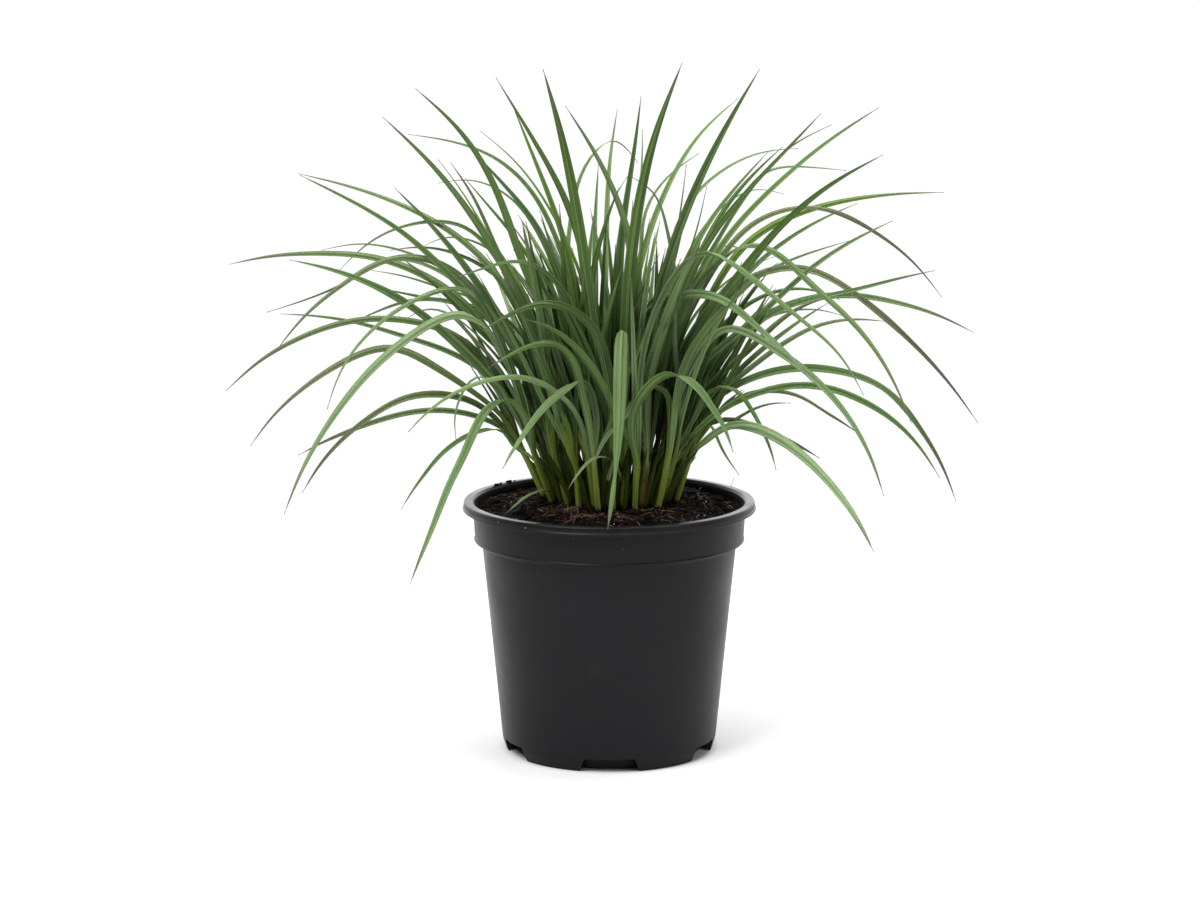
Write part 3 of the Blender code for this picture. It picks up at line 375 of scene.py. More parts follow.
def floor_material():
    """Pale floor with painted light: a glow that grows away from the pot into white, left out around the
    pot's foot as a painted contact shadow.
    """
    s = Shader("pale_floor")
    away = s.length(s.place())
    colour = s.mix(s.noise(3.0, 3.0), (0.60, 0.60, 0.60), (0.62, 0.62, 0.62))
    # painted light: the floor's glow rises away from the pot, and its absence around the foot is a painted
    # contact shadow
    glow = s.times(s.span(away, 0.064, 0.074), s.span(away, 0.07, 0.26, 0.27, 0.40))
    s.set(Base_Color=colour, Roughness=0.7, Specular_IOR_Level=0.2)
    s.set(Emission_Color=(1, 1, 1), Emission_Strength=glow)
    white = s.add("ShaderNodeEmission", {"Color": (1.0, 1.0, 1.0), "Strength": 1.02})
    s.blend(s.span(away, 0.35, 1.1), white)
    return s.material


# Meshes
def add_object(name, data):
    obj = bpy.data.objects.new(name, data)
    bpy.context.scene.collection.objects.link(obj)
    return obj


def add_mesh(name, verts, faces):
    mesh = bpy.data.meshes.new(name)
    mesh.from_pydata(verts, [], faces)
    return add_object(name, mesh)


def add_piece(name, verts, faces, material, replaced=(), slot=None):
    obj = add_mesh(name, np.asarray(verts).tolist(), faces)
    obj.data.shade_smooth()
    obj.data.materials.append(material)
    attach(obj, "root")
    if replaced:
        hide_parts(*replaced)
    return obj


def unit(v):
    return v / max(np.linalg.norm(v), 1e-12)


def smooth(t):
    return t * t * (3 - 2 * t)


def clamped(value, top=1.0):
    return min(top, max(0.0, value))


def circle(radius, steps):
    angles = [math.tau * k / steps for k in range(steps)]
    return [(radius * math.cos(angle), radius * math.sin(angle)) for angle in angles]


def fan(steps):
    """Faces from vertex 0 to the ring that starts at vertex 1."""
    return [[0, 1 + k, 1 + (k + 1) % steps] for k in range(steps)]


def band(first, second, steps, turned=False):
    """Faces between the rings of vertices that start at first and second."""
    faces = []
    for k in range(steps):
        n = (k + 1) % steps
        face = [first + k, first + n, second + n, second + k]
        faces.append([face[0], *face[:0:-1]] if turned else face)
    return faces


def gather(parts):
    """One mesh from (vertices, faces) of many."""
    verts, faces = [], []
    for part_verts, part_faces in parts:
        base = len(verts)
        verts += [tuple(v) for v in part_verts]
        faces += [[base + i for i in f] for f in part_faces]
    return verts, faces


def rounded(corners, steps=5):
    """A profile from (radius, height, fillet) corners, with each fillet as short straight steps.

    A point close beyond each end of a fillet keeps its soft shading off the long faces beside it.
    """
    points = []
    for i, (r, z, fillet) in enumerate(corners):
        here = np.array([r, z])
        if fillet <= 0 or i in (0, len(corners) - 1):
            points.append(here)
            continue
        before = np.array(corners[i - 1][:2]) - here
        after = np.array(corners[i + 1][:2]) - here
        reach = min(fillet, 0.4 * np.linalg.norm(before), 0.4 * np.linalg.norm(after))
        a, b = here + unit(before) * reach, here + unit(after) * reach
        guards = [min(0.0002, 0.2 * np.linalg.norm(way)) for way in (before, after)]
        points.append(a + unit(before) * guards[0])
        for k in range(steps + 1):
            t = k / steps
            points.append(a * (1 - t) ** 2 + here * 2 * t * (1 - t) + b * t**2)
        points.append(b + unit(after) * guards[1])
    return points


def lathe(profile, steps):
    """A closed turned mesh from a profile that starts and ends on the axis."""
    verts, faces, rows = [], [], []
    for r, z in profile:
        if r < 1e-7:
            rows.append([len(verts)] * steps)
            verts.append((0.0, 0.0, z))
        else:
            rows.append(list(range(len(verts), len(verts) + steps)))
            verts += [(x, y, z) for x, y in circle(r, steps)]
    for low, high in zip(rows, rows[1:]):
        for k in range(steps):
            n = (k + 1) % steps
            corners = [low[k], low[n], high[n], high[k]]
            face = [c for i, c in enumerate(corners) if c != corners[i - 1]]
            if len(face) > 2:
                faces.append(face[::-1])
    return verts, faces


def prism(outline, other):
    """A closed mesh between two outlines of as many points."""
    n = len(outline)
    sides = [[i, (i + 1) % n, n + (i + 1) % n, n + i] for i in range(n)]
    return [*outline, *other], [list(range(n))[::-1], list(range(n, 2 * n)), *sides]


def lump(rng, centre, size, flat=1.0):
    """A small uneven clod: an icosphere pushed in and out."""
    shape = bmesh.new()
    bmesh.ops.create_icosphere(shape, subdivisions=2, radius=1.0)
    seed = Vector([rng.uniform(-50, 50) for _ in range(3)])
    stretch = Vector((rng.uniform(0.7, 1.3), rng.uniform(0.7, 1.3), flat * rng.uniform(0.6, 1.0)))
    turn = rng.uniform(0, math.tau)
    verts = []
    for v in shape.verts:
        p = v.co * (1 + 0.5 * noise.noise(v.co * 1.6 + seed))
        x, y, z = p.x * stretch.x, p.y * stretch.y, p.z * stretch.z
        x, y = x * math.cos(turn) - y * math.sin(turn), x * math.sin(turn) + y * math.cos(turn)
        verts.append((centre[0] + x * size, centre[1] + y * size, centre[2] + z * size))
    faces = [[v.index for v in f.verts] for f in shape.faces]
    shape.free()
    return verts, faces


def fibre(points, radius, taper, sides=5):
    """A closed tube along points that thins towards its end."""
    points = [np.array(p, float) for p in points]
    count = len(points)
    verts, faces = [], []
    normal = None
    for i, p in enumerate(points):
        along = unit(points[min(i + 1, count - 1)] - points[max(i - 1, 0)])
        if normal is None:
            normal = unit(np.cross(along, [0.31, 0.22, 0.93]))
        normal = unit(normal - along * normal.dot(along))
        other = np.cross(along, normal)
        thick = radius * (1 - taper * i / count)
        for k in range(sides):
            a = math.tau * k / sides
            verts.append(p + (normal * math.cos(a) + other * math.sin(a)) * thick)
    for i in range(count - 1):
        faces += band(i * sides, (i + 1) * sides, sides)
    faces.append(list(range(sides))[::-1])
    faces.append([(count - 1) * sides + k for k in range(sides)])
    return verts, faces


# Pot
# Its profile as (radius, height, fillet) in millimetres: inside from the floor up, over the rim, down
# outside and along below
POT_PROFILE = (
    (0.0, 10.6, 0), (66.5, 10.6, 2.0), (67.9, 13.0, 2.0), (80.2, 138.1, 0.8), (85.7, 139.6, 0.8),
    (86.75, 160.4, 1.2), (87.8, 162.5, 0.4), (88.9, 164.0, 0.95), (94.1, 163.9, 1.6), (94.5, 161.2, 0.8),
    (94.25, 160.3, 0.25), (95.05, 159.5, 0.3), (95.0, 158.6, 0.3), (93.9, 158.4, 0.3), (88.9, 158.5, 0.4),
    (88.25, 157.6, 0.4), (87.2, 139.6, 0.2), (87.85, 138.95, 0.25), (87.5, 138.1, 0.25), (83.0, 136.7, 0.3),
    (82.5, 135.6, 0.4), (69.8, 7.0, 1.2), (67.5, 0.0, 0.5), (65.9, 0.0, 0.5), (68.0, 8.7, 0.6),
    (67.2, 9.0, 0.4), (60.0, 9.0, 0.5), (60.0, 0.5, 0.4), (58.4, 0.5, 0.4), (58.4, 9.0, 0.5), (50.0, 9.0, 0),
    (49.8, 8.6, 0), (49.2, 8.6, 0), (49.0, 9.0, 0), (30.0, 9.0, 0), (29.8, 8.6, 0), (29.2, 8.6, 0),
    (29.0, 9.0, 0), (4.0, 9.0, 0), (3.2, 8.2, 0.5), (0.0, 8.2, 0),
)
POT_STEPS = 240  # with 180 the cuts in the foot fail
FOOT_RADIUS = 0.0675
# Notches in the foot: middles and widths in degrees, how far from the axis their cutters begin and end,
# and the cutters' corners as (share of half the width, height)
NOTCHES = ((90, 28), (270, 28), (40, 22), (140, 22), (206, 22), (334, 22))
NOTCH_WALLS = (0.0622, 0.0745)
NOTCH_SHAPE = (
    (-1.2, -0.002), (1.2, -0.002), (1.02, 0.0075), (0.95, 0.0087), (-0.95, 0.0087), (-1.02, 0.0075),
)
DRAINS = 6
DRAIN_TURN = 0.37  # where the first is, as a share of the angle between two
DRAIN_CIRCLE = 0.042
DRAIN_RADIUS = 0.005
DRAIN_LEVELS = (0.0050, 0.0140)
SHARP_FROM = 38.0


def cut(pot, shapes):
    """Cuts closed meshes out of the pot. Each is (mesh, turn about the axis, place)."""
    cutters = []
    for mesh, turn, place in shapes:
        cutter = add_mesh("cutter", *mesh)
        cutter.rotation_euler.z = turn
        cutter.location = place
        boolean = pot.modifiers.new("Cut", "BOOLEAN")
        boolean.operation = "DIFFERENCE"
        boolean.object = cutter
        cutters.append(cutter)
    bpy.context.view_layer.update()
    mesh = bpy.data.meshes.new_from_object(pot.evaluated_get(bpy.context.evaluated_depsgraph_get()))
    pot.modifiers.clear()
    pot.data = mesh
    for cutter in cutters:
        bpy.data.objects.remove(cutter, do_unlink=True)


def make_pot(material):
    """The pot: rolled rim, collar with a bead, drafted body, notched foot and drained floor."""
    profile = rounded([(r * MM, z * MM, fillet * MM) for r, z, fillet in POT_PROFILE])
    pot = add_piece("nursery_pot", *lathe(profile, POT_STEPS), material, ["pot"], "pot")
    shapes = []
    for middle, width in NOTCHES:
        half = FOOT_RADIUS * math.sin(math.radians(width / 2))
        walls = [[(x, half * share, z) for share, z in NOTCH_SHAPE] for x in NOTCH_WALLS]
        shapes.append((prism(*walls), math.radians(middle), (0, 0, 0)))
    for number in range(DRAINS):
        ends = [[(x, y, z) for x, y in circle(DRAIN_RADIUS, 28)] for z in DRAIN_LEVELS]
        turn = math.tau * (number + DRAIN_TURN) / DRAINS
        shapes.append((prism(*ends), 0.0, (DRAIN_CIRCLE * math.cos(turn), DRAIN_CIRCLE * math.sin(turn), 0)))
    cut(pot, shapes)
    pot.data.shade_smooth()
    pot.data.set_sharp_from_angle(angle=math.radians(SHARP_FROM))


# Soil
SOIL_RINGS, SOIL_STEPS = 120, 340
SOIL_WALL = 0.0862
SOIL_BELOW = ((0.0852, 0.1402), (0.0796, 0.1388), (0.0675, 0.0112))  # radii and heights of its sides
SOIL_REACH, FIBRE_REACH = 0.084, 0.083  # how far from the axis fibres go, and where they start
MOUND_TOP, MOUND_SLOPE = 0.058, 0.026
RIM_TOP = 0.1646


def soil_height(x, y):
    """Height of the soil's surface at a place: a low mound with lumps, crumbs and grain."""
    at = Vector((x, y, 0.0))
    z = 0.1578 + 0.0048 * smooth(1 - clamped((math.hypot(x, y) - MOUND_TOP) / MOUND_SLOPE))
    z += 0.0012 * noise.noise(at * 45 + Vector((5, 2, 8)))
    z += 0.0011 * noise.noise(at * 120 + Vector((1, 9, 3)))
    pushed = Vector((noise.noise(at * 300), noise.noise(at * 310 + Vector((3, 3, 3))), 0)) * 0.8
    z += 0.0011 * (0.42 - noise.voronoi(at * 260 + pushed)[0][0])
    z += 0.0005 * noise.noise(at * 900)
    return z


def make_soil(material):
    """The peat: an uneven top in rings, plain sides and a flat floor."""
    verts = [(0.0, 0.0, soil_height(0, 0))]
    faces = fan(SOIL_STEPS)
    for i in range(1, SOIL_RINGS + 1):
        ring = circle(SOIL_WALL * (i / SOIL_RINGS) ** 0.8, SOIL_STEPS)
        verts += [(x, y, soil_height(x, y)) for x, y in ring]
    for r, z in SOIL_BELOW:
        verts += [(x, y, z) for x, y in circle(r, SOIL_STEPS)]
    rings = SOIL_RINGS + len(SOIL_BELOW)
    for i in range(rings - 1):
        faces += band(1 + i * SOIL_STEPS, 1 + (i + 1) * SOIL_STEPS, SOIL_STEPS, turned=True)
    last, middle = 1 + (rings - 1) * SOIL_STEPS, len(verts)
    verts.append((0.0, 0.0, SOIL_BELOW[-1][1]))
    faces += [[last + k, middle, last + (k + 1) % SOIL_STEPS] for k in range(SOIL_STEPS)]
    add_piece("peat", verts, faces, material, ["soil"], "soil")


def scattered(rng, radius, bare):
    """A random place within radius, with this share of the area left bare in the middle."""
    r = radius * math.sqrt(rng.uniform(bare, 1.0))
    a = rng.uniform(0, math.tau)
    return r * math.cos(a), r * math.sin(a)


def strand(rng, start, length, steps, wobble, climb, radii, taper):
    """A fibre that wanders over the soil, in a list, which is empty where it would be too short."""
    angle = rng.uniform(0, math.tau)
    x, y = start
    points = []
    lift = rng.uniform(-0.0002, 0.0006)
    for i in range(steps):
        t = i / (steps - 1)
        points.append((x, y, soil_height(x, y) + lift + climb * t * (1 - 0.4 * t)))
        angle += rng.gauss(0, wobble)
        x += math.cos(angle) * length / steps
        y += math.sin(angle) * length / steps
        if math.hypot(x, y) > SOIL_REACH:
            break
    whole = len(points) > 3 and math.hypot(*start) < FIBRE_REACH
    return [fibre(points, rng.uniform(*radii), taper)] if whole else []


# Small things as they show from the front, in millimetres: tangles of fibres as (across, up, spread, how
# many, how high), single ones as (pale, radius, ((across, up, height above the soil), ...)), specks of dust
# on the pot as (across, up, distance from its axis), and crumbs on the rim as (x, y, size)
TANGLES = (
    (-30, 156, 6, 34, 5), (-21, 152, 5, 22, 3), (-68, 165, 5, 22, 4), (-60, 171, 5, 12, 3),
    (61, 171, 4, 30, 6), (22, 156, 6, 18, 4), (40, 157, 6, 12, 3), (50, 163, 5, 10, 3), (4, 151, 7, 10, 3),
)
TWIGS = (
    (True, 0.16, ((57, 168, 1), (61, 162, 1), (66, 154, 0.6))),
    (True, 0.20, ((-43, 151, 0.3), (-38, 153.5, 1), (-33, 153, 0.8))),
    (False, 0.22, ((75, 165, 0.5), (78, 171, 5), (81, 179, 12))),
    (True, 0.14, ((58, 170, 1), (62, 173.5, 3), (66, 171, 1))),
    (True, 0.14, ((-34, 158, 1), (-30, 161, 4), (-27, 155, 1))),
    (True, 0.12, ((-29, 157, 1), (-25, 158, 3), (-23, 150, 0.5))),
)
DUST = ((-72, 148.5, 94.9), (-54.5, 145, 94.8), (-23, 138, 87.9), (4, 134, 87.7), (9, 131, 87.5))
RIM_CRUMBS = (
    (-75.0, 47.0, 1.5), (-73.4, 49.5, 0.9), (-71.8, 51.4, 1.2), (-66.0, 60.0, 1.8), (-67.8, 59.0, 1.1),
    (-63.0, 62.0, 0.9),
)
TWIG_STEPS = 14
CLODS, FIBRES, STRAWS, GRIT = 760, 170, 40, 70  # how many are scattered


def make_clods(rng):
    clods = []
    for _ in range(CLODS):
        x, y = scattered(rng, 0.085, 0.12)
        size = rng.uniform(0.0005, 0.0021) * (1.0 if rng.random() < 0.85 else 1.5)
        if math.hypot(x, y) + size <= 0.0855:
            clods.append(lump(rng, (x, y, soil_height(x, y) + size * 0.15), size))
    for x, y, size in RIM_CRUMBS:
        clods.append(lump(rng, (x * MM, y * MM, RIM_TOP), size * MM, 0.8))
    return clods


def make_fibres(rng):
    fibres = []
    for _ in range(FIBRES):
        start, length = scattered(rng, FIBRE_REACH, 0.1), rng.uniform(0.005, 0.020)
        climb = rng.choice((0, 0, 0.001, 0.003))
        fibres += strand(rng, start, length, 9, 0.45, climb, (0.00010, 0.00030), 0.7)
    for across, up, spread, count, climb in TANGLES:
        x, y, _ = on_soil(across, up)
        for _ in range(count):
            start = (x + rng.gauss(0, spread) * MM, y + rng.gauss(0, spread * 0.8) * MM)
            length = rng.uniform(0.006, 0.020)
            fibres += strand(rng, start, length, 11, 0.5, rng.uniform(0, climb) * MM, (0.00010, 0.00024), 0.6)
    return fibres


def make_twigs(light):
    """The single fibres that are pale, or those that aren't."""
    twigs = []
    for pale, thick, marks in TWIGS:
        if pale == light:
            ends = [on_soil(across, up - lift) + UP * (lift * MM) for across, up, lift in marks]
            curve, knots = spline(np.array(ends), ends[1] - ends[0])
            twigs.append(fibre(curve(np.linspace(0, knots[-1], TWIG_STEPS)), thick * MM, 0.5, 6))
    return twigs


def make_straws(rng):
    straws = []
    for _ in range(STRAWS):
        start, length = scattered(rng, 0.082, 0.2), rng.uniform(0.006, 0.018)
        straws += strand(rng, start, length, 8, 0.25, rng.choice((0, 0.001)), (0.00012, 0.0003), 0.6)
    return straws


def make_grit(rng):
    grit = []
    for _ in range(GRIT):
        x, y = scattered(rng, SOIL_REACH, 0.2)
        grit.append(lump(rng, (x, y, soil_height(x, y) + 0.0003), rng.uniform(0.0002, 0.00045)))
    return grit


def make_crumbs():
    """Loose things on the soil and the pot."""
    rng = random.Random(5)
    clods = make_clods(rng)
    fibres = make_fibres(rng) + make_twigs(False)
    dust = [lump(rng, on_pot(across, up, radius), 0.00028) for across, up, radius in DUST]
    straws = make_twigs(True) + make_straws(rng)
    specks = dust + make_grit(rng)
    for name, parts, look in (
        ("peat_crumbs", clods, ("peat_lump", (0.0022, 0.0017, 0.0015), (0.0120, 0.0075, 0.0055), 0.9)),
        ("peat_fibres", fibres, ("brown_fibre", (0.014, 0.008, 0.006), (0.215, 0.128, 0.092), 0.7)),
        ("pale_roots", straws, ("pale_root", (0.16, 0.10, 0.055), (0.38, 0.29, 0.18), 0.6)),
        ("pale_grit", specks, ("pale_grit", (0.34, 0.31, 0.27), (0.62, 0.58, 0.52), 0.5)),
    ):
        add_piece(name, *gather(parts), crumb_material(*look), slot="soil")


# Shoots as read from the solids
def welded(obj):
    """Places of a CAD node's vertices, each once, and which are joined to which."""
    mesh = obj.data
    co = np.empty(len(mesh.vertices) * 3)
    mesh.vertices.foreach_get("co", co)
    places, index = np.unique(np.round(co.reshape(-1, 3), 6), axis=0, return_inverse=True)
    ends = np.empty(len(mesh.edges) * 2, int)
    mesh.edges.foreach_get("vertices", ends)
    near = [set() for _ in places]
    for a, b in index.reshape(-1)[ends].reshape(-1, 2):
        if a != b:
            near[a].add(int(b))
            near[b].add(int(a))
    return places, near


def opposite(corners):
    """For each corner of a leaf's three-cornered section, the side that it doesn't touch."""
    return [corners[(k + 1) % 3] - corners[(k + 2) % 3] for k in range(3)]


def folded(corners):
    """(edge, keel, edge) from the three corners of a leaf's section: the edges are furthest apart."""
    k = int(np.argmax([np.linalg.norm(side) for side in opposite(corners)]))
    return corners[(k + 1) % 3], corners[k], corners[(k + 2) % 3]


def read_shoot(obj):
    """The foot and top of a CAD shoot's sheath, and its leaves as (sections, tip)."""
    places, near = welded(obj)
    level = [i for i, p in enumerate(places) if abs(p[2] - ROOT_HEIGHT) < 0.00002]
    middle = np.median(places[level], axis=0)
    foot = {i for i in level if np.linalg.norm(places[i] - middle) < 0.005}
    top = set().union(*(near[i] for i in foot)) - foot
    leaves = []
    for tip in range(len(places)):
        if tip in foot or tip in top or len(near[tip]) != 3:
            continue
        passed, layer, rings = {tip}, set(near[tip]), []
        while not layer & top:
            rings.append(folded([places[i] for i in sorted(layer)]))
            passed |= layer
            layer = set().union(*(near[i] for i in layer)) - passed
        rings.append(tuple(places[i] for i in sorted(layer)))
        leaves.append((rings[::-1], places[tip]))
    return places[sorted(foot)].mean(0), places[sorted(top)].mean(0), leaves


def spline(points, start):
    """Values and knots of the smooth curve through points that leaves the first one along start."""
    n = len(points)
    knots = np.concatenate([[0], np.cumsum(np.linalg.norm(np.diff(points, axis=0), axis=1))])
    h = np.diff(knots)
    a = np.zeros((n, n))
    b = np.zeros((n, 3))
    a[0, 0], b[0] = 1, unit(start)
    for i in range(1, n - 1):
        a[i, i - 1], a[i, i], a[i, i + 1] = 1 / h[i - 1], 2 * (1 / h[i - 1] + 1 / h[i]), 1 / h[i]
        b[i] = 3 * ((points[i] - points[i - 1]) / h[i - 1] ** 2 + (points[i + 1] - points[i]) / h[i] ** 2)
    a[-1, -2], a[-1, -1] = 1, 2
    b[-1] = 3 * (points[-1] - points[-2]) / h[-1]
    slopes = np.linalg.solve(a, b)

    def at(s):
        i = np.clip(np.searchsorted(knots, s) - 1, 0, n - 2)
        t = ((s - knots[i]) / h[i])[:, None]
        w = h[i][:, None]
        return (points[i] * (2 * t**3 - 3 * t**2 + 1) + slopes[i] * w * (t**3 - 2 * t**2 + t)
                + points[i + 1] * (3 * t**2 - 2 * t**3) + slopes[i + 1] * w * (t**3 - t**2))

    return at, knots


# Leaves
NUDGE = 1e-4  # a step along a leaf's curve to read its direction
HARD_BEND = 70  # the curvature, in radians a metre, at which a leaf has lost half its fold
ARCH_ROOM, BEHIND_ARCH = 0.0042, 0.004  # a leaf that shows this near an arch hides it, unless this far behind
YOUNG_TRIES = 30
GOLDEN_ANGLE = 2.39996
OLD_BASE_HEIGHT = 0.1610


def solid_leaf_width(share):
    """Width of a CAD leaf at a share of its length, as a share of its widest."""
    return (0.66 + 0.34 * np.minimum(1.0, share / 0.3)) * (1 - share**3) ** 0.8


def blade_width(share, neck):
    swell = neck + (1 - neck) * np.clip(share / 0.42, 0, 1) ** 0.9
    return swell * 1.03 * np.maximum(1 - share**2.7, 0) ** 0.8


def pleat(u):
    """Depth of a leaf's section below its edges, as a share of the fold's: a keel between raised pleats."""
    a = np.abs(u)
    return (1 - a) - 0.34 * np.exp(-(((a - 0.50) / 0.17) ** 2)) + 0.10 * np.exp(-(((a - 0.80) / 0.14) ** 2))


class Leaf:
    """One leaf of a shoot: its curve from the sheath to its tip, its width and how its sections turn."""

    neck = 0.55  # width where the blade begins, as a share of its widest
    twisted = False
    nearer = 0.0
    rise = 0.0  # added to the way up from the soil

    def __init__(self, foot, top, rings, tip, layer):
        self.foot, self.top, self.layer = foot, top, layer
        self.within = layer > 2
        self.axis = unit(top - foot)
        sides, middles, widths = [], [], []
        for edge, _, other in rings[1:]:
            across = edge - other
            if sides and across.dot(sides[-1]) < 0:
                across = -across
            sides.append(unit(across))
            middles.append((edge + other) / 2)
            widths.append(np.linalg.norm(across))
        # the first section is part of the sheath: where its sides are even, its keel is the corner whose
        # opposite side runs like the next section, and otherwise it is folded like that one
        base = rings[0]
        spans = [np.linalg.norm(side) for side in opposite(base)]
        self.inner = np.ptp(spans) < 0.4 * MM
        alike = [abs(unit(side).dot(sides[0])) for side in opposite(base)]
        keel = int(np.argmax(alike if self.inner else spans))
        out = base[keel] - top
        self.out = unit(out - self.axis * out.dot(self.axis))
        self.base_side = unit(opposite(base)[keel])
        if self.base_side.dot(sides[0]) < 0:
            self.base_side = -self.base_side
        start = np.mean(base, axis=0)
        self.curve, self.knots = spline(np.array([start, *middles, tip]), self.axis)
        self.length = self.knots[-1]
        self.width = float(np.mean(np.array(widths) / solid_leaf_width(self.knots[1:-1] / self.length)))
        self.side_knots = np.array([self.base_side, *sides, sides[-1]])
        self.start_offset = float((start - top).dot(self.out))

    def sheath_rows(self, u, arcs, height):
        """Sections in the sheath: arcs around its axis that close on the way up."""
        grow, reach, wide, spread = arcs
        # the arc's own side is square to the direction in which the leaf leaves the sheath
        square = unit(np.cross(self.axis, self.out))
        if square.dot(self.base_side) < 0:
            square = -square
        steps = SHEATH_STEPS - 3 * self.within if height > MM else 0
        rows = []
        for k in range(steps):
            t = k / steps
            radius = (grow + (reach - grow) * t) * MM
            angle = math.radians(wide - spread * t)
            centre = self.foot + (self.top - self.foot) * t - self.axis * 0.0012 * (1 - t)
            x, y = radius * np.sin(u * angle), radius * np.cos(u * angle)
            rows.append((centre, square, self.out, x, y, 1.3, height * t, 0.0))
        return rows

    def sections(self, rng):
        """Rows of (place, side, below, x, y, thickness, way up from the soil, share of the blade)."""
        u = np.linspace(-1, 1, 2 * (ACROSS - 2 * self.within) + 1)
        if self.inner:
            arcs = 1.1, 1.0, 105, 30
        else:
            arcs = 1.75 - 0.2 * self.layer, 1.9 - 0.22 * self.layer, 118, 50
        height = np.linalg.norm(self.top - self.foot)
        rows = self.sheath_rows(u, arcs, height)
        fewest, step = (8, BLADE_STEP * COARSER) if self.within else (12, BLADE_STEP)
        count = max(fewest, round(self.length / step))
        s = self.length * (1 - (1 - np.linspace(0, 1, count + 1)) ** 1.15)
        places = self.curve(s)
        ahead = self.curve(np.minimum(s + NUDGE, self.length)) - self.curve(np.maximum(s - NUDGE, 0))
        wave_phase = rng.uniform(0, math.tau)
        wave = rng.uniform(0.0, 0.22)
        fold = rng.uniform(0.20, 0.27)
        face = 0
        turns = np.diff(ahead, axis=0, append=ahead[-1:])
        bends = np.linalg.norm(turns, axis=1) / (2 * NUDGE) / np.diff(s, append=self.length + 1)
        radius, angle = arcs[1] * MM, math.radians(75 if self.inner else 68)
        arc_x, arc_y = radius * np.sin(u * angle), radius * np.cos(u * angle) - self.start_offset
        for i in range(count + 1):
            along = unit(ahead[i])
            share = s[i] / self.length
            side = np.array([np.interp(s[i], self.knots, self.side_knots[:, c]) for c in range(3)])
            side = unit(side - along * side.dot(along))
            below = -np.cross(side, along)
            face = face or (-1.0 if below.dot(self.out) < 0 else 1.0)
            below = below * face
            turn = wave * math.sin(wave_phase + share * 9.0) * min(1, s[i] / 0.05)
            side, below = (side * math.cos(turn) + below * math.sin(turn),
                           below * math.cos(turn) - side * math.sin(turn))
            # a loose leaf begins with its own fold
            arc = smooth(1 - min(1.0, s[i] / NECK)) if rows else 0.0
            half = 0.5 * self.width * float(blade_width(share, self.neck))
            if self.twisted:
                half *= float(np.interp(share, *TWISTED_WIDTH))
            half = max(half, 0.00022)
            # where it bends hard a leaf loses its fold and rounds over the outside of the bend
            bent = (bends[i] / HARD_BEND) ** 2 / (1 + (bends[i] / HARD_BEND) ** 2)
            over = -math.copysign(bent, below.dot(turns[i]))
            folding = fold * (1.40 - 0.55 * share) * (1 - bent)
            depth = 2 * half * (folding * pleat(u) + 0.28 * over * (1 - u**2))
            half *= 1 - 0.38 * bent
            x = arc * arc_x + (1 - arc) * half * u
            y = arc * arc_y + (1 - arc) * depth
            place = places[i] + unit(EYE - places[i]) * self.nearer * math.sin(math.pi * share) ** 2
            rows.append((place, side, below, x, y, 1 - 0.5 * share, self.rise + height + s[i], share))
        return u, rows

    def mesh(self, rng):
        """Vertices, faces and attributes of the leaf as a thin closed blade."""
        u, rows = self.sections(rng)
        n = len(u)
        ring = 2 * n
        verts, leaf, tint, faces = [], [], [], []
        for place, side, below, x, y, stout, way, share in rows:
            thick = (0.00019 * (1 - 0.55 * np.abs(u)) + 0.00004) * stout
            rib = 0.00010 * np.exp(-((u / 0.10) ** 2)) * (1 - share)
            dx, dy = np.gradient(x), np.gradient(y)
            size = np.maximum(np.hypot(dx, dy), 1e-9)
            nx, ny = -dy / size, dx / size
            turn = 1.0 if ny[n // 2] > 0 else -1.0
            nx, ny = nx * turn, ny * turn
            lower = place + np.outer(x + nx * (thick + rib), side) + np.outer(y + ny * (thick + rib), below)
            upper = place + np.outer(x - nx * thick, side) + np.outer(y - ny * thick, below)
            verts += [*lower, *upper[::-1]]
            leaf += [(v, share, way) for v in (*u, *u[::-1])]
            tint += [(self.tone, self.age, 0.0)] * n + [(self.tone, self.age, 1.0)] * n
        last = (len(rows) - 1) * ring
        for start in range(0, last, ring):
            faces += band(start, start + ring, ring)
        for end, turn in ((0, -1), (last, 1)):
            for k in range(n - 1):
                face = [end + k, end + k + 1, end + ring - 2 - k, end + ring - 1 - k]
                faces.append(face[::turn])
        a, b, c, d = np.moveaxis(np.array(verts)[np.array(faces)] - verts[0], 1, 0)
        volume = np.einsum("ij,ij->", a, np.cross(b, c) + np.cross(c, d))
        if volume < 0:
            faces = [face[::-1] for face in faces]
        return verts, faces, leaf, tint


class LooseLeaf(Leaf):
    """A leaf that isn't part of a shoot, from the places that it passes and the way that its back faces."""

    def __init__(self, places, width, back, tone, age, neck=0.6, within=False):
        points = np.array(places, float)
        self.foot = self.top = points[0]
        self.layer, self.inner, self.within = 0, True, within
        self.width, self.tone, self.age, self.neck = width, tone, age, neck
        self.axis = unit(points[1] - points[0])
        self.curve, self.knots = spline(points, self.axis)
        self.length = self.knots[-1]
        self.out = np.array(back, float)
        ways = np.gradient(points, axis=0)
        self.side_knots = np.array([unit(np.cross(unit(way), self.out)) for way in ways])
        self.base_side = self.side_knots[0]
        self.start_offset = 0.0


def reach_of_dense(height):
    return np.interp(height, DENSE[:, 0], DENSE[:, 1])


def inside(places):
    """How deep in the clump places stand, from 0 to 1, which the leaves show as painted shade. The clump is
    narrower front to back.
    """
    away = np.hypot(places[:, 0] - CROWN[0], 1.35 * (places[:, 1] - CROWN[1]))
    fade = np.interp(places[:, 2], (0.165, 0.240, 0.330), (1.0, 0.85, 0.0))
    return np.clip((1 - away / reach_of_dense(places[:, 2]) - 0.06) / 0.36, 0, 1) * fade


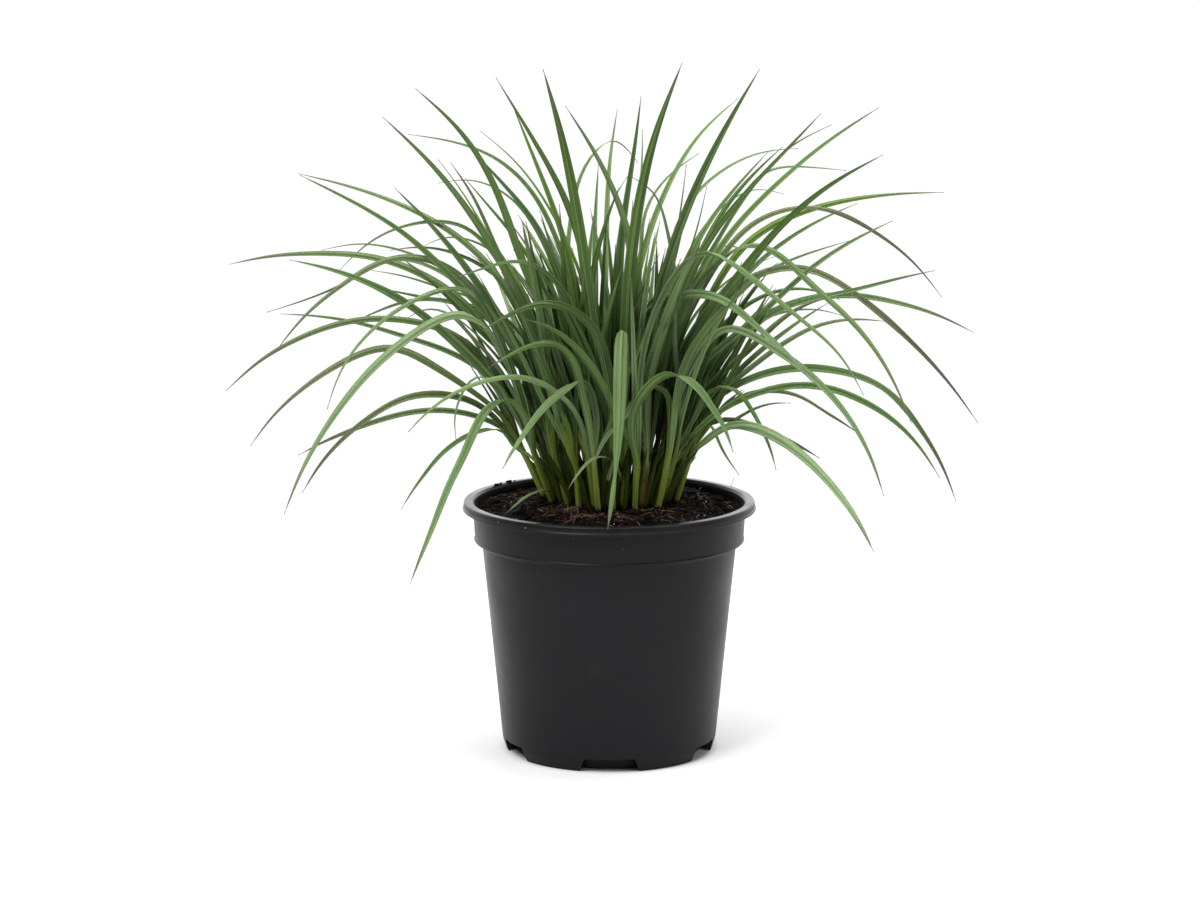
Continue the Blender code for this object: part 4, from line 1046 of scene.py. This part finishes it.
def add_leaf_piece(name, parts, material, replaced=(), shade=0.0):
    """One object from leaves, with what the material needs to know of each vertex."""
    verts, faces = gather([part[:2] for part in parts])
    data = add_piece(name, verts, faces, material, replaced, "leaf").data
    for key, index in (("leaf", 2), ("tint", 3)):
        values = np.array([value for part in parts for value in part[index]], float)
        data.attributes.new(key, "FLOAT_VECTOR", "POINT").data.foreach_set("vector", values.ravel())
    # painted shade: each vertex is darkened by its depth in the clump, or by shade where that is more
    shade_amounts = np.maximum(inside(np.array(verts, float)), shade)
    data.attributes.new("inside", "FLOAT", "POINT").data.foreach_set("value", shade_amounts)


def sticks_out(places):
    """Whether a leaf through these places would show beyond the dense part of the clump."""
    shown = [from_front(place) for place in places]
    return any(up > DENSE[-1, 0] or abs(across) > reach_of_dense(up) for across, up in shown)


def hides(places, arches):
    """Whether a leaf through these places would stand before an arch that hangs in front of the clump."""
    for place in places:
        across, up = from_front(place)
        near = np.hypot(arches[:, 0] - across, arches[:, 1] - up) < ARCH_ROOM
        if np.any(near & (arches[:, 2] > place[1] - BEHIND_ARCH)):
            return True
    return False


def young_leaf(foot, base, solids, rng, away, arches):
    """Sections and tip of a leaf that stands among the shoot's others and stays close to them, or None."""
    out = foot[:2] - CROWN
    for _ in range(YOUNG_TRIES):
        azimuth = math.atan2(out[1], out[0]) + rng.gauss(0, 0.35 + 0.9 * (1 - away))
        outward = np.array([math.cos(azimuth), math.sin(azimuth), 0.0])
        sideways = np.array([-outward[1], outward[0], 0])
        lean = math.radians(2 + 22 * away + rng.uniform(-3, 7))
        bend = math.radians(rng.uniform(3, 32))
        length = rng.uniform(0.085, 0.205) if rng.random() < 0.6 else rng.uniform(0.045, 0.090)
        places = [np.mean(base, axis=0)]
        for step in range(YOUNG_STEPS):
            angle = lean + bend * ((step + 0.5) / YOUNG_STEPS) ** 1.5
            ahead = outward * math.sin(angle) + UP * math.cos(angle)
            places.append(places[-1] + ahead * length / YOUNG_STEPS)
        far = any(solids.find_nearest(Vector(place), 0.009)[0] is None for place in places[6::3])
        if sticks_out(places[4::4]) or far or hides(places[3:], arches):
            continue
        width = rng.uniform(0.0036, 0.0062)
        twist = rng.uniform(0, math.tau) * 0.15
        rings = [tuple(base)]
        for share in (0.25, 0.5, 0.75):
            i = round(share * YOUNG_STEPS)
            along = unit(places[i + 1] - places[i - 1])
            side = unit(np.cross(along, outward * math.cos(twist) + sideways * math.sin(twist)))
            below = unit(np.cross(along, side))
            if below.dot(outward) < 0:
                below = -below
            wide = width * float(solid_leaf_width(share))
            edges = places[i] + side * wide / 2, places[i] - side * wide / 2
            rings.append((edges[0], places[i] + below * wide * 0.26, edges[1]))
        return rings, places[-1]
    return None


def shoot_names():
    return sorted(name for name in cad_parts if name.startswith("shoot_"))


def tree_of_shoots():
    """The faces of all CAD shoots, to tell how far a place is from them."""
    corners, triangles = [], []
    for name in shoot_names():
        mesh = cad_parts[name].data
        first = len(corners)
        corners += [tuple(v.co) for v in mesh.vertices]
        triangles += [[first + i for i in p.vertices] for p in mesh.polygons]
    return BVHTree.FromPolygons(corners, triangles)


def finish_leaf(leaf, tip, away, rng):
    """Gives a leaf of the solids its tone, age and other marks."""
    upright = leaf.droop < 0.15 and leaf.front < 0.3
    lime = 0.60 if upright and rng.random() < 0.22 else 0.0
    leaf.tone = clamped(rng.gauss(0.30, 0.13) + 0.36 * min(1, 2 * leaf.droop) * leaf.front + lime)
    leaf.neck = 0.60 - 0.14 * away
    across, up = from_front(tip)
    if tip[1] < -0.09 and abs(across) < 0.02 and up < 0.155:  # the leaf that hangs over the rim
        leaf.twisted, leaf.tone = True, 0.50
    for tip_shown, shift in NEARER:
        if math.dist(tip_shown, (across / MM, up / MM)) < 2.5:
            leaf.nearer = shift * MM
    outer = min(1, 2 * leaf.droop) + max(0.0, abs(across) - 0.10) * 3
    leaf.age = clamped(rng.gauss(0.12 + 0.44 * min(1, outer) * (1 - 0.9 * leaf.front), 0.11), 0.9)


def make_shoots(material):
    """Each CAD shoot's leaves with their finished form, and thin young leaves among them."""
    rng = random.Random(21)
    solids = tree_of_shoots()
    shoots, arches = [], []
    for name in shoot_names():
        foot, top, leaves = read_shoot(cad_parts[name])
        grown = [(Leaf(foot, top, rings, tip, layer), tip) for layer, (rings, tip) in enumerate(leaves)]
        for leaf, tip in grown:
            line = leaf.curve(np.linspace(0, leaf.length, 60))
            leaf.droop = max(0.0, (line[:, 2].max() - tip[2]) / 0.12)
            leaf.front = clamped(-tip[1] / 0.08)
            if leaf.droop > 0.15 and leaf.front > 0.3:
                arches += [(*from_front(place), place[1]) for place in line if place[2] > 0.195]
        shoots.append((name, foot, top, [rings[0] for rings, _ in leaves], grown))
    arches = np.array(arches)
    for name, foot, top, bases, grown in shoots:
        parts = []
        away = min(1.0, math.hypot(foot[0] - CROWN[0], foot[1] - CROWN[1]) / CROWN_RADIUS)
        for leaf, tip in grown:
            finish_leaf(leaf, tip, away, rng)
            parts.append(leaf.mesh(rng))
        for _ in range(YOUNG_LEAVES if bases else 0):
            found = young_leaf(foot, rng.choice(bases), solids, rng, away, arches)
            if found:
                leaf = Leaf(top - unit(top - foot) * 0.008, top, *found, 3)
                leaf.inner, leaf.neck = True, 0.66
                leaf.tone = clamped(rng.gauss(0.20, 0.12) + (0.65 if rng.random() < 0.08 else 0.0))
                leaf.age = rng.uniform(0.0, 0.2)
                parts.append(leaf.mesh(rng))
        add_leaf_piece(name.replace("shoot", "grass"), parts, material, [name])


def make_old_bases(material):
    """Short old leaves among the sheaths, deep green and darkened with painted shade, which close the view
    through the clump's foot.
    """
    rng = random.Random(33)
    parts = []
    for number in range(OLD_BASES):
        r = 0.9 * CROWN_RADIUS * math.sqrt((number + 0.5) / OLD_BASES)
        a = number * GOLDEN_ANGLE
        out = np.array([math.cos(a), math.sin(a), 0.0])
        foot = np.array([*CROWN, OLD_BASE_HEIGHT]) + out * r
        lean = 0.10 + 0.42 * r / CROWN_RADIUS + rng.gauss(0, 0.08)
        height = rng.uniform(0.022, 0.050)
        side = np.array([-out[1], out[0], 0.0]) * rng.gauss(0, 0.10)
        steps = (0, 0.25, 0.5, 0.75, 1.0)
        marks = [foot + height * t * (UP + (out * lean + side) * (0.6 + 0.6 * t)) for t in steps]
        facing = rng.uniform(-0.9, 0.9)
        back = np.array([math.sin(facing), -math.cos(facing), 0.0])
        width = rng.uniform(0.0034, 0.0056)
        parts.append(LooseLeaf(marks, width, back, 0.10, rng.uniform(0.0, 0.3), 0.95, True).mesh(rng))
    # painted shade: all of them are darkened as if deep in the clump
    add_leaf_piece("old_leaf_bases", parts, material, shade=0.85)


# Small leaves as they show from the front: places as (across, up, depth) in millimetres, width, back, tone,
# age and what is added to the way up from the soil
FACING_UP, FACING_FRONT = (0, 0.2, -1), (0, 1, -0.2)
ABOVE_SHEATH = 0.070
SMALL_LEAVES = (
    # the little arch in front
    (((7.5, 176, -38), (7, 182, -40), (3, 189, -43), (-3, 192, -47), (-10, 191, -52), (-17, 185, -58),
      (-27, 170, -66)), 3.6, FACING_UP, 0.60, 0.10, ABOVE_SHEATH),
    # one that lies on the soil
    (((-38, 170, -14), (-43, 170.5, -20), (-46, 169.5, -24), (-52, 167, -29), (-60, 161, -34),
      (-67, 154.5, -38)), 3.4, FACING_UP, 0.55, 0.45, ABOVE_SHEATH),
    # a broken stub, a pale spear and a dry sheath
    (((17, 160, -32), (17.6, 172, -33), (19, 185, -34), (20, 197, -35), (21.2, 199.5, -36), (22, 195, -38)),
     3.0, FACING_FRONT, 0.60, 0.85, ABOVE_SHEATH),
    (((-1, 176, -47), (0.6, 182, -50), (2.2, 188, -52)), 2.2, FACING_FRONT, 0.60, 0.80, ABOVE_SHEATH),
    (((22, 158, -30), (22.5, 166, -31), (24, 177, -31), (26, 188, -30)), 3.0, FACING_FRONT, 0.70, 1.00, 0.0),
)


def make_small_leaves(material):
    rng = random.Random(9)
    parts = []
    for marks, width, back, tone, age, rise in SMALL_LEAVES:
        leaf = LooseLeaf([seen(*mark) for mark in marks], width * MM, back, tone, age)
        leaf.rise = rise
        parts.append(leaf.mesh(rng))
    add_leaf_piece("small_leaves", parts, material)


# Studio: lights as (name, place, target, size, power), and radii of the floor's rings
LIGHTS = (
    ("key", (-1.0, -1.1, 2.2), (0, 0, 0.25), 1.5, 71),
    ("top", (0.35, 0.30, 2.4), (0, 0, 0.2), 1.6, 54),
    ("fill", (1.7, -1.2, 1.2), (0, 0, 0.2), 1.2, 18),
)
FLOOR_RADII = (0.25, 0.6, 1.5, 4.0, 9.0)
FLOOR_STEPS = 96
FLOOR_LEVEL = -0.0001


def make_camera():
    camera = add_object("camera", bpy.data.cameras.new("camera"))
    camera.data.lens = LENS
    camera.data.sensor_width = SENSOR
    camera.data.clip_end = 60
    camera.location = EYE
    camera.rotation_euler = (math.radians(90 - PITCH), 0, 0)
    bpy.context.scene.camera = camera


def make_lights():
    for name, place, target, size, power in LIGHTS:
        light = add_object(name, bpy.data.lights.new(name, "AREA"))
        light.data.shape = "DISK"
        light.data.size = size
        light.data.energy = power
        light.location = place
        light.rotation_euler = (Vector(target) - Vector(place)).to_track_quat("-Z", "Y").to_euler()


def make_world():
    """White to the eye, soft on matt things, and in gloss dark in front of the pot and bright behind it."""
    world = bpy.data.worlds.new("studio")
    world.use_nodes = True
    s = Nodes(world.node_tree)
    background = s.tree.nodes["Background"]
    path = s.add("ShaderNodeLightPath").outputs
    _, y, _ = s.parts(s.add("ShaderNodeTexCoord").outputs["Generated"])
    gloss = s.span(y, -0.2, 0.9, GLOSS_FRONT, GLOSS_BEHIND, False)
    light = s.span(path["Is Glossy Ray"], 0.0, 1.0, WORLD_LIGHT, gloss, False)
    s.join((1, 1, 1), background.inputs["Color"])
    s.join(s.span(path["Is Camera Ray"], 0.0, 1.0, light, WORLD_SEEN, False), background.inputs["Strength"])
    bpy.context.scene.world = world


def make_floor():
    verts = [(0.0, 0.0, FLOOR_LEVEL)]
    faces = fan(FLOOR_STEPS)
    for i, r in enumerate(FLOOR_RADII):
        start = len(verts)
        verts += [(x, y, FLOOR_LEVEL) for x, y in circle(r, FLOOR_STEPS)]
        if i > 0:
            faces += band(start - FLOOR_STEPS, start, FLOOR_STEPS, turned=True)
    floor = add_mesh("floor", verts, faces)
    floor.data.materials.append(floor_material())


def main():
    make_camera()
    make_lights()
    make_world()
    bpy.context.scene.view_settings.view_transform = "Standard"
    bpy.context.scene.view_settings.look = "None"
    make_floor()
    make_pot(pot_material())
    make_soil(soil_material())
    make_crumbs()
    leaf = leaf_material()
    make_shoots(leaf)
    make_old_bases(leaf)
    make_small_leaves(leaf)


main()
